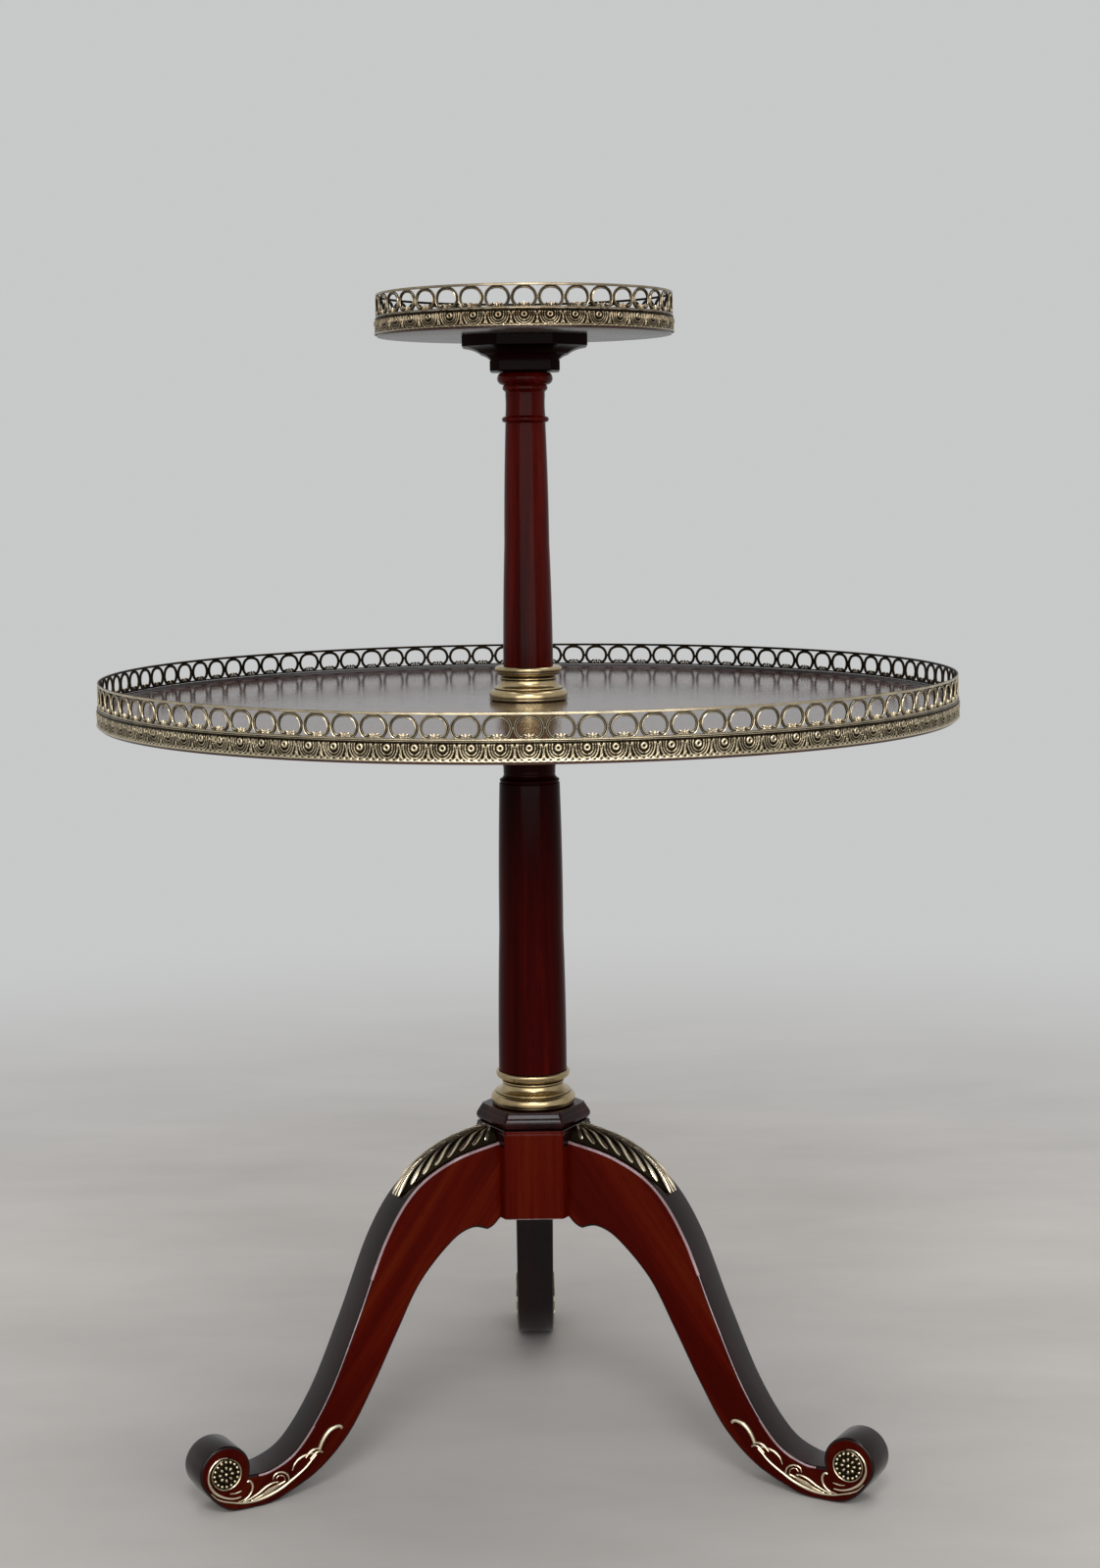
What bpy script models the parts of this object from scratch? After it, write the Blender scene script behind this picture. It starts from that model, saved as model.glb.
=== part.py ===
"""Two-tier bouillotte table: a tripod base, two turned columns and two round trays.

Units are metres. The origin is on the column's axis at the floor, +Z is up and the
front of the table faces -Y. Each leg is drawn in its own frame, x outwards from the
column and z up, and is turned about the axis by its empty.
"""

import math

import bmesh
import bpy
from mathutils import Matrix, Vector

# Clearances that every piece shares.
FIT = 0.0003
OVERRUN = 0.002

# Hub: a hexagonal block, flat to the front, that holds the three legs.
HUB_BOTTOM = 0.2195
HUB_HEIGHT = 0.0822
HUB_RADIUS = 0.0530
HUB_BEAD = 0.0032
TONGUE_DEPTH = 0.0160
TONGUE_ROOT_WIDTH = 0.0150
TONGUE_END_WIDTH = 0.0210
TONGUE_HEIGHT = 0.0600

# Legs: sawn from plank, the foot rolled up into a scroll over a short flat pad.
LEG_THICKNESS = 0.0360
LEG_ARRIS = 0.0016
KNEE_DROP = 0.0112
SCROLL_REACH = 0.3210
SCROLL_HEIGHT = 0.0375
SCROLL_RADIUS = 0.0233
SCROLL_STEPS = 9
CREASE_ANGLE = math.radians(198)
SCROLL_RELEASE_ANGLE = math.radians(-38)
PAD_INSET = 0.0300
PAD_LENGTH = 0.0300
PAD_STEP = 0.0015
CUSP_BULGE = 0.10

# Outline points of a leg: shares of SCROLL_REACH and of the knee's height.
KNEE_LINE_SHARES = (
    (0.290, 0.966), (0.414, 0.892), (0.508, 0.750), (0.601, 0.512), (0.692, 0.299),
    (0.785, 0.157), (0.866, 0.108))
UNDERSIDE_SHARES = (
    (0.184, 0.725), (0.234, 0.738), (0.300, 0.705), (0.399, 0.597), (0.475, 0.453),
    (0.548, 0.306), (0.629, 0.165), (0.725, 0.069), (0.830, 0.015))
TOE_SHARE = (1.012, 0.026)

# Brass saddle on each knee: leaf lobes down both sides of a raised rib.
MOUNT_HALF_WIDTH = 0.0150
MOUNT_CROWN = 0.0105
MOUNT_ROOT_RISE = 0.0008
MOUNT_EDGE = 0.0022
MOUNT_TIP_SHARE = 0.455
MOUNT_NOTCH_SHARE = 0.72
MOUNT_STEPS = 6

# Brass on the sides of each foot: a round rosette, and a leaf spray round and behind it.
ROSETTE_RADIUS = 0.0138
ROSETTE_THICKNESS = 0.0026
ROSETTE_DROP = 0.0025
ROSETTE_RIM_SHARE = 0.86
ROSETTE_DISH_SHARE = 0.62
ROSETTE_SIDES = 12
SPRAY_THICKNESS = 0.0018
SPRAY_CLEARANCE = 0.0005
SPRAY_HALF_WIDTH = 0.0050
SPRAY_STRAP_SHARE = 0.28
SPRAY_ARC_DROP = 0.0030
SPRAY_ARC_START = math.radians(95)
SPRAY_ARC_SWEEP = math.radians(185)
SPRAY_ARC_STEPS = 6

# Centre line of the spray behind the rosette: shares of SCROLL_REACH and of the knee's
# height, and the half width there as a share of SPRAY_HALF_WIDTH.
SPRAY_LINE_SHARES = (
    (0.962, 0.028, 0.40), (0.908, 0.035, 0.80), (0.868, 0.047, 0.95), (0.825, 0.060, 0.50),
    (0.780, 0.095, 0.95), (0.745, 0.122, 0.80), (0.722, 0.148, 0.34), (0.690, 0.187, 0.40),
    (0.658, 0.186, 0.14))

# Plinth: a hexagonal moulding between the hub and the lower collar.
PLINTH_HEIGHT = 0.0155
PLINTH_RADIUS = 0.0527
# Moulding corners from the bottom up: shares of PLINTH_RADIUS and of PLINTH_HEIGHT.
PLINTH_PROFILE_SHARES = (
    (0.903, 0.00), (0.903, 0.31), (0.985, 0.33), (1.000, 0.40), (0.950, 0.56), (0.928, 0.58),
    (0.928, 0.65), (0.890, 0.80), (0.868, 0.84), (0.864, 1.00))

# Turned brass collars under both columns.
LOWER_COLLAR_HEIGHT = 0.0312
LOWER_COLLAR_RADIUS = 0.0384
UPPER_COLLAR_HEIGHT = 0.0305
UPPER_COLLAR_RADIUS = 0.0350
# Corners from the bottom up: shares of the radius and the height, and the bulge of the
# stretch that ends there, as its rise over its length, positive outwards.
LOWER_COLLAR_CORNERS_SHARES = (
    (0.945, 0.000, 0.00), (0.900, 0.350, 0.25), (0.872, 0.410, 0.00), (0.722, 0.650, -0.16),
    (0.742, 0.700, 0.00), (0.712, 0.735, 0.00), (0.866, 0.860, 0.16), (0.857, 1.000, 0.00))
UPPER_COLLAR_CORNERS_SHARES = (
    (0.965, 0.000, 0.00), (0.885, 0.340, 0.24), (0.868, 0.400, 0.00), (0.712, 0.635, -0.16),
    (0.732, 0.690, 0.00), (0.698, 0.725, 0.00), (0.842, 0.860, 0.16), (0.822, 1.000, 0.00))

# Lower column: a polished shaft under a ring, a hollow neck and a bearing plate.
LOWER_COLUMN_LENGTH = 0.3242
LOWER_SHAFT_RADIUS = 0.0312
LOWER_PLATE_RADIUS = 0.0480
LOWER_PLATE_THICKNESS = 0.0110
# Corners above the foot: share of LOWER_SHAFT_RADIUS, of LOWER_COLUMN_LENGTH, and bulge.
LOWER_COLUMN_CORNERS_SHARES = (
    (1.000, 0.000, 0.00), (0.878, 0.818, 0.00), (0.850, 0.828, 0.00), (0.757, 0.845, -0.18),
    (1.350, 0.966, -0.22))

# Upper column: a slimmer shaft, an astragal, a neck and a torus.
UPPER_COLUMN_LENGTH = 0.2610
UPPER_SHAFT_RADIUS = 0.0225
# Corners above the foot: share of UPPER_SHAFT_RADIUS, of UPPER_COLUMN_LENGTH, and bulge.
UPPER_COLUMN_CORNERS_SHARES = (
    (1.000, 0.000, 0.00), (0.795, 0.829, 0.00), (0.795, 0.852, 0.42), (0.787, 0.930, 0.00),
    (0.888, 0.943, 0.00), (0.888, 0.957, 0.00), (0.888, 1.000, 0.48))

# Column joints: turned tenons, and one steel rod that clamps the stack.
TENON_RADIUS = 0.0120
HUB_MORTISE_DEPTH = 0.0100
COLLAR_TENON_SHARE = 0.66
SPIGOT_LENGTH = 0.0080
TOP_TENON_RADIUS = 0.0110
TRAY_MORTISE_DEPTH = 0.0075
ROD_RADIUS = 0.0050
ROD_CLEARANCE = 0.0005
ROD_PAST_INSERT = 0.0180
ROD_TAIL = 0.0030
INSERT_RADIUS = 0.0084
INSERT_LENGTH = 0.0300
COUNTERBORE_RADIUS = 0.0140
COUNTERBORE_DEPTH = 0.0200
WASHER_RADIUS = 0.0115
WASHER_THICKNESS = 0.0020
NUT_RADIUS = 0.0098
NUT_HEIGHT = 0.0080
NUT_BORE_RADIUS = 0.0060
HARDWARE_SIDES = 12

# Corbel under the upper tray: a square block with canted corners, hollowed to a slab.
CORBEL_HEIGHT = 0.0308
CORBEL_HALF_WIDTH = 0.0552
CORBEL_FLAT_HALF_WIDTH = 0.0247
# Rings from the bottom up: half width, flat half width and height, as shares of the three.
CORBEL_RING_SHARES = (
    (0.535, 0.92, 0.00), (0.558, 0.92, 0.29), (0.543, 0.92, 0.30), (0.603, 0.93, 0.36),
    (0.683, 0.94, 0.47), (0.770, 0.96, 0.59), (0.859, 0.98, 0.66), (0.995, 1.00, 0.715),
    (1.000, 1.00, 1.00))

# Trays: round boards with a low lip that carries the gallery.
MAIN_TRAY_RADIUS = 0.3816
MAIN_TRAY_THICKNESS = 0.0152
MAIN_LIP_HEIGHT = 0.0031
MAIN_TRAY_SIDES = 50
UPPER_TRAY_RADIUS = 0.1304
UPPER_TRAY_THICKNESS = 0.0132
UPPER_LIP_HEIGHT = 0.0031
UPPER_TRAY_SIDES = 32
LIP_WIDTH = 0.0060
LIP_HOLLOW = 0.0040
SEAT_DEPTH = 0.0005
SEAT_MARGIN = 0.0010

# Cast brass bands round the trays, and the pierced galleries above them.
BAND_THICKNESS = 0.0031
BAND_DROP_SHARE = 0.09
# Outer corners of a band from the bottom up: shares of its thickness and of its height.
BAND_PROFILE_SHARES = ((1.00, 0.05), (0.75, 0.24), (0.95, 0.70), (0.60, 1.00))
MAIN_GALLERY_HEIGHT = 0.0221
UPPER_GALLERY_HEIGHT = 0.0206
GALLERY_THICKNESS = 0.0018
GALLERY_SET_OUT = 0.0009
RAIL_HEIGHT = 0.0015
BASE_RIB_HEIGHT = 0.0021
STEM_WIDTH = 0.0030
ARCH_WIRE = 0.0014
ARCH_CENTRE_SHARE = 0.47
ARCH_FOOT_SHARE = 0.82
SPANDREL_HALF_WIDTH_SHARE = 0.23
SPANDREL_DEPTH_SHARE = 0.27
MAIN_ARCHES = 100
UPPER_ARCHES = 36
# Points of one opening, from its right foot over the crown to its left foot.
ARCH_ANGLES = [math.radians(a) for a in (-55, 2, 47, 90, 133, 178, 235)]

# Turning and arc fineness.
COLUMN_SIDES = 16
ARC_STEPS = 3
CURVE_STEPS = 2
SHARP_ANGLE = math.radians(38)

# Azimuths of the legs, seen from above, anticlockwise from +X.
LEG_AZIMUTHS = {"left": math.radians(210), "right": math.radians(330), "rear": math.radians(90)}
LEG_FACES = {"left": 1, "right": -1}

# Heights of the stack, each piece standing a clearance above the one below.
HUB_TOP = HUB_BOTTOM + HUB_HEIGHT
HUB_APOTHEM = HUB_RADIUS * math.cos(math.pi / 6)
KNEE_HEIGHT = HUB_TOP - KNEE_DROP
PLINTH_BOTTOM = HUB_TOP + FIT
PLINTH_TOP = PLINTH_BOTTOM + PLINTH_HEIGHT
LOWER_COLLAR_BOTTOM = PLINTH_TOP + FIT
LOWER_COLUMN_BOTTOM = LOWER_COLLAR_BOTTOM + LOWER_COLLAR_HEIGHT + FIT
LOWER_COLUMN_TOP = LOWER_COLUMN_BOTTOM + LOWER_COLUMN_LENGTH
MAIN_TRAY_BOTTOM = LOWER_COLUMN_TOP + FIT
MAIN_TRAY_SURFACE = MAIN_TRAY_BOTTOM + MAIN_TRAY_THICKNESS
UPPER_COLLAR_BOTTOM = MAIN_TRAY_SURFACE - SEAT_DEPTH + FIT
UPPER_COLUMN_BOTTOM = UPPER_COLLAR_BOTTOM + UPPER_COLLAR_HEIGHT + FIT
UPPER_COLUMN_TOP = UPPER_COLUMN_BOTTOM + UPPER_COLUMN_LENGTH
CORBEL_BOTTOM = UPPER_COLUMN_TOP + FIT
CORBEL_TOP = CORBEL_BOTTOM + CORBEL_HEIGHT
UPPER_TRAY_BOTTOM = CORBEL_TOP + FIT
UPPER_TRAY_SURFACE = UPPER_TRAY_BOTTOM + UPPER_TRAY_THICKNESS

# Heights and radii of the hidden joints.
BORE_RADIUS = ROD_RADIUS + ROD_CLEARANCE
TENON_BORE_RADIUS = TENON_RADIUS + FIT
HUB_MORTISE_BOTTOM = HUB_TOP - HUB_MORTISE_DEPTH
LOWER_TENON_BOTTOM = HUB_MORTISE_BOTTOM + FIT
LOWER_TENON_TOP = UPPER_COLLAR_BOTTOM + UPPER_COLLAR_HEIGHT * COLLAR_TENON_SHARE
SPIGOT_BOTTOM = UPPER_COLUMN_BOTTOM - SPIGOT_LENGTH
INSERT_TOP = SPIGOT_BOTTOM + INSERT_LENGTH
ROD_TOP = INSERT_TOP + ROD_PAST_INSERT
PAD_END = SCROLL_REACH - PAD_INSET + PAD_LENGTH / 2
PAD_START = PAD_END - PAD_LENGTH
COUNTERBORE_TOP = HUB_BOTTOM + COUNTERBORE_DEPTH
WASHER_BOTTOM = COUNTERBORE_TOP - FIT - WASHER_THICKNESS
NUT_BOTTOM = WASHER_BOTTOM - FIT - NUT_HEIGHT
TOP_TENON_TOP = UPPER_TRAY_BOTTOM + TRAY_MORTISE_DEPTH - FIT
LEG_FACE_REACH = HUB_APOTHEM + FIT


def clear_scene():
    """Remove whatever the file already holds."""
    for item in list(bpy.data.objects):
        bpy.data.objects.remove(item, do_unlink=True)


def finish(name, colour, roughness, metallic=0.0):
    """Return a Principled material, made once for each name."""
    material = bpy.data.materials.get(name)
    if material is None:
        material = bpy.data.materials.new(name)
        material.use_nodes = True
        shader = material.node_tree.nodes["Principled BSDF"]
        shader.inputs["Base Color"].default_value = (*colour, 1.0)
        shader.inputs["Roughness"].default_value = roughness
        shader.inputs["Metallic"].default_value = metallic
    return material


def mahogany():
    """Red-brown polished wood of the base and columns."""
    return finish("mahogany", (0.105, 0.014, 0.007), 0.22)


def gilt_brass():
    """Aged gilt castings: bands, galleries and leaf mounts."""
    return finish("gilt_brass", (0.50, 0.38, 0.19), 0.36, 1.0)


def bright_brass():
    """Turned and polished brass of the collars."""
    return finish("bright_brass", (0.78, 0.60, 0.30), 0.20, 1.0)


def steel():
    """Plain steel of the hidden rod, nut and washer."""
    return finish("steel", (0.42, 0.43, 0.45), 0.40, 1.0)


def make_object(name, mesh_data, material, parent=None):
    """Turn finished bmesh data into a smooth-shaded object with outward faces."""
    bmesh.ops.recalc_face_normals(mesh_data, faces=mesh_data.faces)
    mesh = bpy.data.meshes.new(name)
    mesh_data.to_mesh(mesh)
    mesh_data.free()
    mesh.materials.append(material)
    mesh.shade_smooth()
    mesh.set_sharp_from_angle(angle=SHARP_ANGLE)
    item = bpy.data.objects.new(name, mesh)
    item.parent = parent
    bpy.context.collection.objects.link(item)
    return item


def apply_boolean(target, tool, operation):
    """Join or cut a target with a hidden tool object, kept as a live modifier."""
    tool.hide_render = True
    tool.display_type = "WIRE"
    modifier = target.modifiers.new(tool.name, "BOOLEAN")
    modifier.operation = operation
    modifier.solver = "EXACT"
    modifier.object = tool


def skin_rings(rings, closed, capped):
    """Bridge rings of points into a bmesh, as a loop of rings or with both ends capped."""
    data = bmesh.new()
    loops = [[data.verts.new(point) for point in ring] for ring in rings]
    following = loops[1:] + loops[:1] if closed else loops[1:]
    for low, high in zip(loops, following):
        for k in range(len(low)):
            n = (k + 1) % len(low)
            data.faces.new((low[k], low[n], high[n], high[k]))
    if capped:
        data.faces.new(loops[0][::-1])
        data.faces.new(loops[-1])
    return data


def ring_points(radius, height, sides):
    """Points of a level ring about the axis."""
    turns = [2 * math.pi * k / sides for k in range(sides)]
    return [Vector((radius * math.cos(a), radius * math.sin(a), height)) for a in turns]


def lathe(name, profile, sides, material, bored):
    """Turn a (radius, height) profile: a closed bored outline, or one capped at its ends."""
    rings = [ring_points(radius, height, sides) for radius, height in profile]
    return make_object(name, skin_rings(rings, bored, not bored), material)


def bowed_corners(corners, radius, length, base):
    """Scale corner shares into (radius, height) points and bow each stretch by its bulge."""
    points = []
    for radius_share, height_share, bulge in corners:
        end = Vector((radius_share * radius, base + height_share * length))
        if points and bulge:
            points += arc_between(Vector(points[-1]), end, bulge, ARC_STEPS)
        points.append(tuple(end))
    return points


def arc_between(start, end, bulge, steps):
    """Inner points of the arc from start to end whose rise is bulge times its chord."""
    chord = end - start
    along = chord.normalized()
    outward = Vector((along.y, -along.x)) * math.copysign(1, bulge)
    half_angle = 2 * math.atan(2 * abs(bulge))
    radius = chord.length / (2 * math.sin(half_angle))
    middle = (start + end) / 2
    points = []
    for step in range(1, steps):
        angle = half_angle * (2 * step / steps - 1)
        rise = radius * (math.cos(angle) - math.cos(half_angle))
        points.append(tuple(middle + along * radius * math.sin(angle) + outward * rise))
    return points


def smooth_line(points, steps):
    """Catmull-Rom curve through 2-D points, with its ends held."""
    points = [Vector(p) for p in points]
    padded = [points[0]] + points + [points[-1]]
    line = []
    for a, b, c, d in zip(padded, padded[1:], padded[2:], padded[3:]):
        for step in range(steps):
            t = step / steps
            bend = 2 * a - 5 * b + 4 * c - d
            twist = 3 * (b - c) + d - a
            line.append((2 * b + (c - a) * t + bend * t * t + twist * t * t * t) / 2)
    return line + [points[-1]]


def scaled(shares):
    """Scale a leg's outline shares to its reach and its knee height."""
    return [Vector((reach * SCROLL_REACH, rise * KNEE_HEIGHT)) for reach, rise in shares]


def on_circle(angle, radius, drop):
    """Point at an angle on a circle that hangs a drop below the scroll's centre."""
    centre = Vector((SCROLL_REACH, SCROLL_HEIGHT - drop))
    return centre + radius * Vector((math.cos(angle), math.sin(angle)))


def knee_line():
    """Top line of a leg, from the hub's face down to the crease at the scroll."""
    start = Vector((LEG_FACE_REACH, KNEE_HEIGHT))
    crease = on_circle(CREASE_ANGLE, SCROLL_RADIUS, 0)
    return smooth_line([start] + scaled(KNEE_LINE_SHARES) + [crease], CURVE_STEPS)


def underside_line():
    """Bottom line of a leg: a small ogee by the hub, the long sweep, and the flat pad."""
    start = Vector((LEG_FACE_REACH, HUB_BOTTOM))
    points = scaled(UNDERSIDE_SHARES)
    ogee = [start] + [Vector(p) for p in arc_between(start, points[0], CUSP_BULGE, ARC_STEPS)]
    step = Vector((PAD_START - PAD_STEP, PAD_STEP))
    return ogee + smooth_line(points + [step], CURVE_STEPS) + [Vector((PAD_START, 0))]


def scroll_line():
    """Outer line of the foot: the toe up from the pad, then the arc over to the crease."""
    sweep = (CREASE_ANGLE - SCROLL_RELEASE_ANGLE) / SCROLL_STEPS
    arc = [on_circle(SCROLL_RELEASE_ANGLE + sweep * k, SCROLL_RADIUS, 0)
           for k in range(SCROLL_STEPS)]
    toe = smooth_line([Vector((PAD_END, 0))] + scaled([TOE_SHARE]) + arc[:1], CURVE_STEPS)
    return toe[:-1] + arc


def leg_outline():
    """Closed side outline of a leg, anticlockwise from the foot of its hub face."""
    return underside_line() + scroll_line() + knee_line()[::-1]


def inset_outline(outline, distance):
    """Move a closed outline inwards, but keep its two points on the hub's face on it."""
    moved = []
    for before, point, after in zip(outline[-1:] + outline, outline, outline[1:] + outline[:1]):
        ahead = (after - point).normalized()
        behind = (point - before).normalized()
        inward = Vector((-ahead.y - behind.y, ahead.x + behind.x)).normalized()
        spread = max(inward.dot(Vector((-ahead.y, ahead.x))), math.sin(math.pi / 6))
        moved.append(point + inward * distance / spread)
    moved[0].x = outline[0].x
    moved[-1].x = outline[-1].x
    return moved


def raise_outline(outline, across):
    """Stand a side outline up in the leg's frame at a distance across it."""
    return [Vector((point.x, across, point.y)) for point in outline]


def tongue(name, parent, clearance, bottom):
    """Dovetail prism on a hub face: the leg's tongue, or the larger tool that cuts its socket."""
    inner = HUB_APOTHEM - TONGUE_DEPTH - clearance
    outer = LEG_FACE_REACH + OVERRUN
    root = TONGUE_ROOT_WIDTH / 2 + clearance
    end = TONGUE_END_WIDTH / 2 + clearance
    plan = ((inner, -end), (outer, -root), (outer, root), (inner, end))
    heights = (bottom, HUB_BOTTOM + TONGUE_HEIGHT + clearance)
    rings = [[Vector((x, y, height)) for x, y in plan] for height in heights]
    return make_object(name, skin_rings(rings, False, True), mahogany(), parent)


def make_leg(leg, frame):
    """Sawn leg with eased arrises, and the dovetail tongue that slides up into the hub."""
    outline = leg_outline()
    eased = inset_outline(outline, LEG_ARRIS)
    face = LEG_THICKNESS / 2
    shoulder = face - LEG_ARRIS
    rings = [raise_outline(eased, face), raise_outline(outline, shoulder),
             raise_outline(outline, -shoulder), raise_outline(eased, -face)]
    item = make_object("leg_" + leg, skin_rings(rings, False, True), mahogany(), frame)
    apply_boolean(item, tongue("tongue_" + leg, frame, 0, HUB_BOTTOM), "UNION")


def mount_section(point, along, half_width, crown):
    """Cross-section of the saddle: flat below, a low edge each side and a round rib."""
    outward = Vector((along.y, -along.x))
    if outward.y < 0:
        outward = -outward
    shape = ((-1, 0), (1, 0), (1, MOUNT_EDGE), (0.4, crown), (-0.4, crown), (-1, MOUNT_EDGE))
    section = []
    for side, rise in shape:
        spot = point + outward * (FIT + rise)
        section.append(Vector((spot.x, side * half_width, spot.y)))
    return section


def make_knee_mount(leg, frame):
    """Leaf saddle that follows the knee from the hub, its edges notched between lobes."""
    points = [knee_line()[0] + Vector((FIT, 0))] + scaled(KNEE_LINE_SHARES)
    tip = SCROLL_REACH * MOUNT_TIP_SHARE
    line = [point for point in smooth_line(points, MOUNT_STEPS) if point.x < tip]
    rings = []
    last = len(line) - 1
    for k, point in enumerate(line):
        along = (line[min(k + 1, last)] - line[max(k - 1, 0)]).normalized()
        if k == 0:
            along = Vector((1, 0))
        share = k / last
        notch = MOUNT_NOTCH_SHARE if k % 2 and k < last else 1
        taper = math.sqrt(1 - share ** 3) if k < last else 0.22
        crown = MOUNT_CROWN * (1 - share ** 4) + MOUNT_ROOT_RISE * (1 - share) ** 4
        crown = max(crown, MOUNT_EDGE * 1.2)
        rings.append(mount_section(point, along, MOUNT_HALF_WIDTH * notch * taper, crown))
    return make_object("knee_mount_" + leg, skin_rings(rings, False, True), gilt_brass(), frame)


def make_rosette(leg, face_name, side, frame):
    """Round button with a raised rim about a dished middle, on one side of the scroll."""
    rim = ROSETTE_RADIUS * ROSETTE_RIM_SHARE
    dish = ROSETTE_RADIUS * ROSETTE_DISH_SHARE
    profile = ((ROSETTE_RADIUS, 0), (rim, ROSETTE_THICKNESS), (dish, ROSETTE_THICKNESS / 2))
    rings = [ring_points(radius, height, ROSETTE_SIDES) for radius, height in profile]
    data = skin_rings(rings, False, True)
    turn = Matrix.Rotation(-side * math.pi / 2, 4, "X")
    seat = Vector((SCROLL_REACH, side * (LEG_THICKNESS / 2 + FIT), SCROLL_HEIGHT - ROSETTE_DROP))
    data.transform(Matrix.Translation(seat) @ turn)
    make_object("foot_rosette_%s_%s" % (leg, face_name), data, gilt_brass(), frame)


def spray_stations():
    """Centre points and half widths of the spray: an arc about the rosette, then the stem."""
    strap = SPRAY_HALF_WIDTH * SPRAY_STRAP_SHARE
    radius = ROSETTE_RADIUS + SPRAY_CLEARANCE + strap + SPRAY_ARC_DROP
    stations = []
    for step in range(SPRAY_ARC_STEPS + 1):
        angle = SPRAY_ARC_START - SPRAY_ARC_SWEEP * step / SPRAY_ARC_STEPS
        stations.append((on_circle(angle, radius, ROSETTE_DROP + SPRAY_ARC_DROP), strap))
    for reach, rise, width in SPRAY_LINE_SHARES:
        stations.append((scaled([(reach, rise)])[0], SPRAY_HALF_WIDTH * width))
    return stations


def make_spray(leg, face_name, side, frame):
    """Flat casting: a C round the rosette that runs into a leafy stem with a curled tip."""
    stations = spray_stations()
    left = []
    right = []
    for k, (point, half_width) in enumerate(stations):
        before = stations[max(k - 1, 0)][0]
        after = stations[min(k + 1, len(stations) - 1)][0]
        along = (after - before).normalized()
        across = Vector((-along.y, along.x)) * half_width
        left.append(point + across)
        right.append(point - across)
    outline = left + right[::-1]
    seat = LEG_THICKNESS / 2 + FIT
    rings = [raise_outline(outline, side * seat),
             raise_outline(outline, side * (seat + SPRAY_THICKNESS))]
    data = skin_rings(rings, False, True)
    make_object("foot_spray_%s_%s" % (leg, face_name), data, gilt_brass(), frame)


def make_legs():
    """Three legs at their azimuths, each with its knee mount and foot mounts."""
    for leg, azimuth in LEG_AZIMUTHS.items():
        frame = bpy.data.objects.new("frame_" + leg, None)
        frame.rotation_euler.z = azimuth
        bpy.context.collection.objects.link(frame)
        make_leg(leg, frame)
        make_knee_mount(leg, frame)
        for face_name, side in LEG_FACES.items():
            make_rosette(leg, face_name, side, frame)
            make_spray(leg, face_name, side, frame)


def bore_through(item, steps):
    """Cut a stepped round bore on the axis, from (radius, height) steps, bottom first."""
    tool = lathe(item.name + "_bore", steps, COLUMN_SIDES, mahogany(), bored=False)
    apply_boolean(item, tool, "DIFFERENCE")


def make_hub():
    """Hexagonal block with dovetail sockets, a mortise above and the nut's counterbore below."""
    profile = ((HUB_RADIUS, HUB_BOTTOM), (HUB_RADIUS, HUB_TOP - HUB_BEAD),
               (HUB_RADIUS - HUB_BEAD / 4, HUB_TOP - HUB_BEAD / 3),
               (HUB_RADIUS - HUB_BEAD * 0.8, HUB_TOP))
    hub = lathe("hub", profile, 6, mahogany(), bored=False)
    steps = ((COUNTERBORE_RADIUS, HUB_BOTTOM - OVERRUN), (COUNTERBORE_RADIUS, COUNTERBORE_TOP),
             (BORE_RADIUS, COUNTERBORE_TOP), (BORE_RADIUS, HUB_MORTISE_BOTTOM),
             (TENON_BORE_RADIUS, HUB_MORTISE_BOTTOM), (TENON_BORE_RADIUS, HUB_TOP + OVERRUN))
    bore_through(hub, steps)
    for leg, azimuth in LEG_AZIMUTHS.items():
        tool = tongue("socket_" + leg, None, FIT, HUB_BOTTOM - OVERRUN)
        tool.rotation_euler.z = azimuth
        apply_boolean(hub, tool, "DIFFERENCE")


def make_plinth():
    """Hexagonal stepped moulding, bored for the column's tenon."""
    profile = [(radius * PLINTH_RADIUS, PLINTH_BOTTOM + height * PLINTH_HEIGHT)
               for radius, height in PLINTH_PROFILE_SHARES]
    plinth = lathe("plinth", profile, 6, mahogany(), bored=False)
    bore_through(plinth, ((TENON_BORE_RADIUS, PLINTH_BOTTOM - OVERRUN),
                          (TENON_BORE_RADIUS, PLINTH_TOP + OVERRUN)))


def make_collar(name, corners, radius, height, base):
    """Turned brass collar, bored for a tenon."""
    profile = bowed_corners(corners, radius, height, base)
    profile += [(TENON_BORE_RADIUS, base + height), (TENON_BORE_RADIUS, base)]
    lathe(name, profile, COLUMN_SIDES, bright_brass(), bored=True)


def make_lower_column():
    """Lower shaft with a long tenon at each end, bored right through for the rod."""
    shaft = bowed_corners(LOWER_COLUMN_CORNERS_SHARES, LOWER_SHAFT_RADIUS, LOWER_COLUMN_LENGTH,
                          LOWER_COLUMN_BOTTOM)
    plate_bottom = LOWER_COLUMN_TOP - LOWER_PLATE_THICKNESS
    shaft[-1] = (shaft[-1][0], plate_bottom)
    profile = [(TENON_RADIUS, LOWER_TENON_BOTTOM), (TENON_RADIUS, LOWER_COLUMN_BOTTOM)] + shaft
    profile += [(LOWER_PLATE_RADIUS, plate_bottom), (LOWER_PLATE_RADIUS, LOWER_COLUMN_TOP),
                (TENON_RADIUS, LOWER_COLUMN_TOP), (TENON_RADIUS, LOWER_TENON_TOP),
                (BORE_RADIUS, LOWER_TENON_TOP), (BORE_RADIUS, LOWER_TENON_BOTTOM)]
    lathe("lower_column", profile, COLUMN_SIDES, mahogany(), bored=True)


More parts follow.
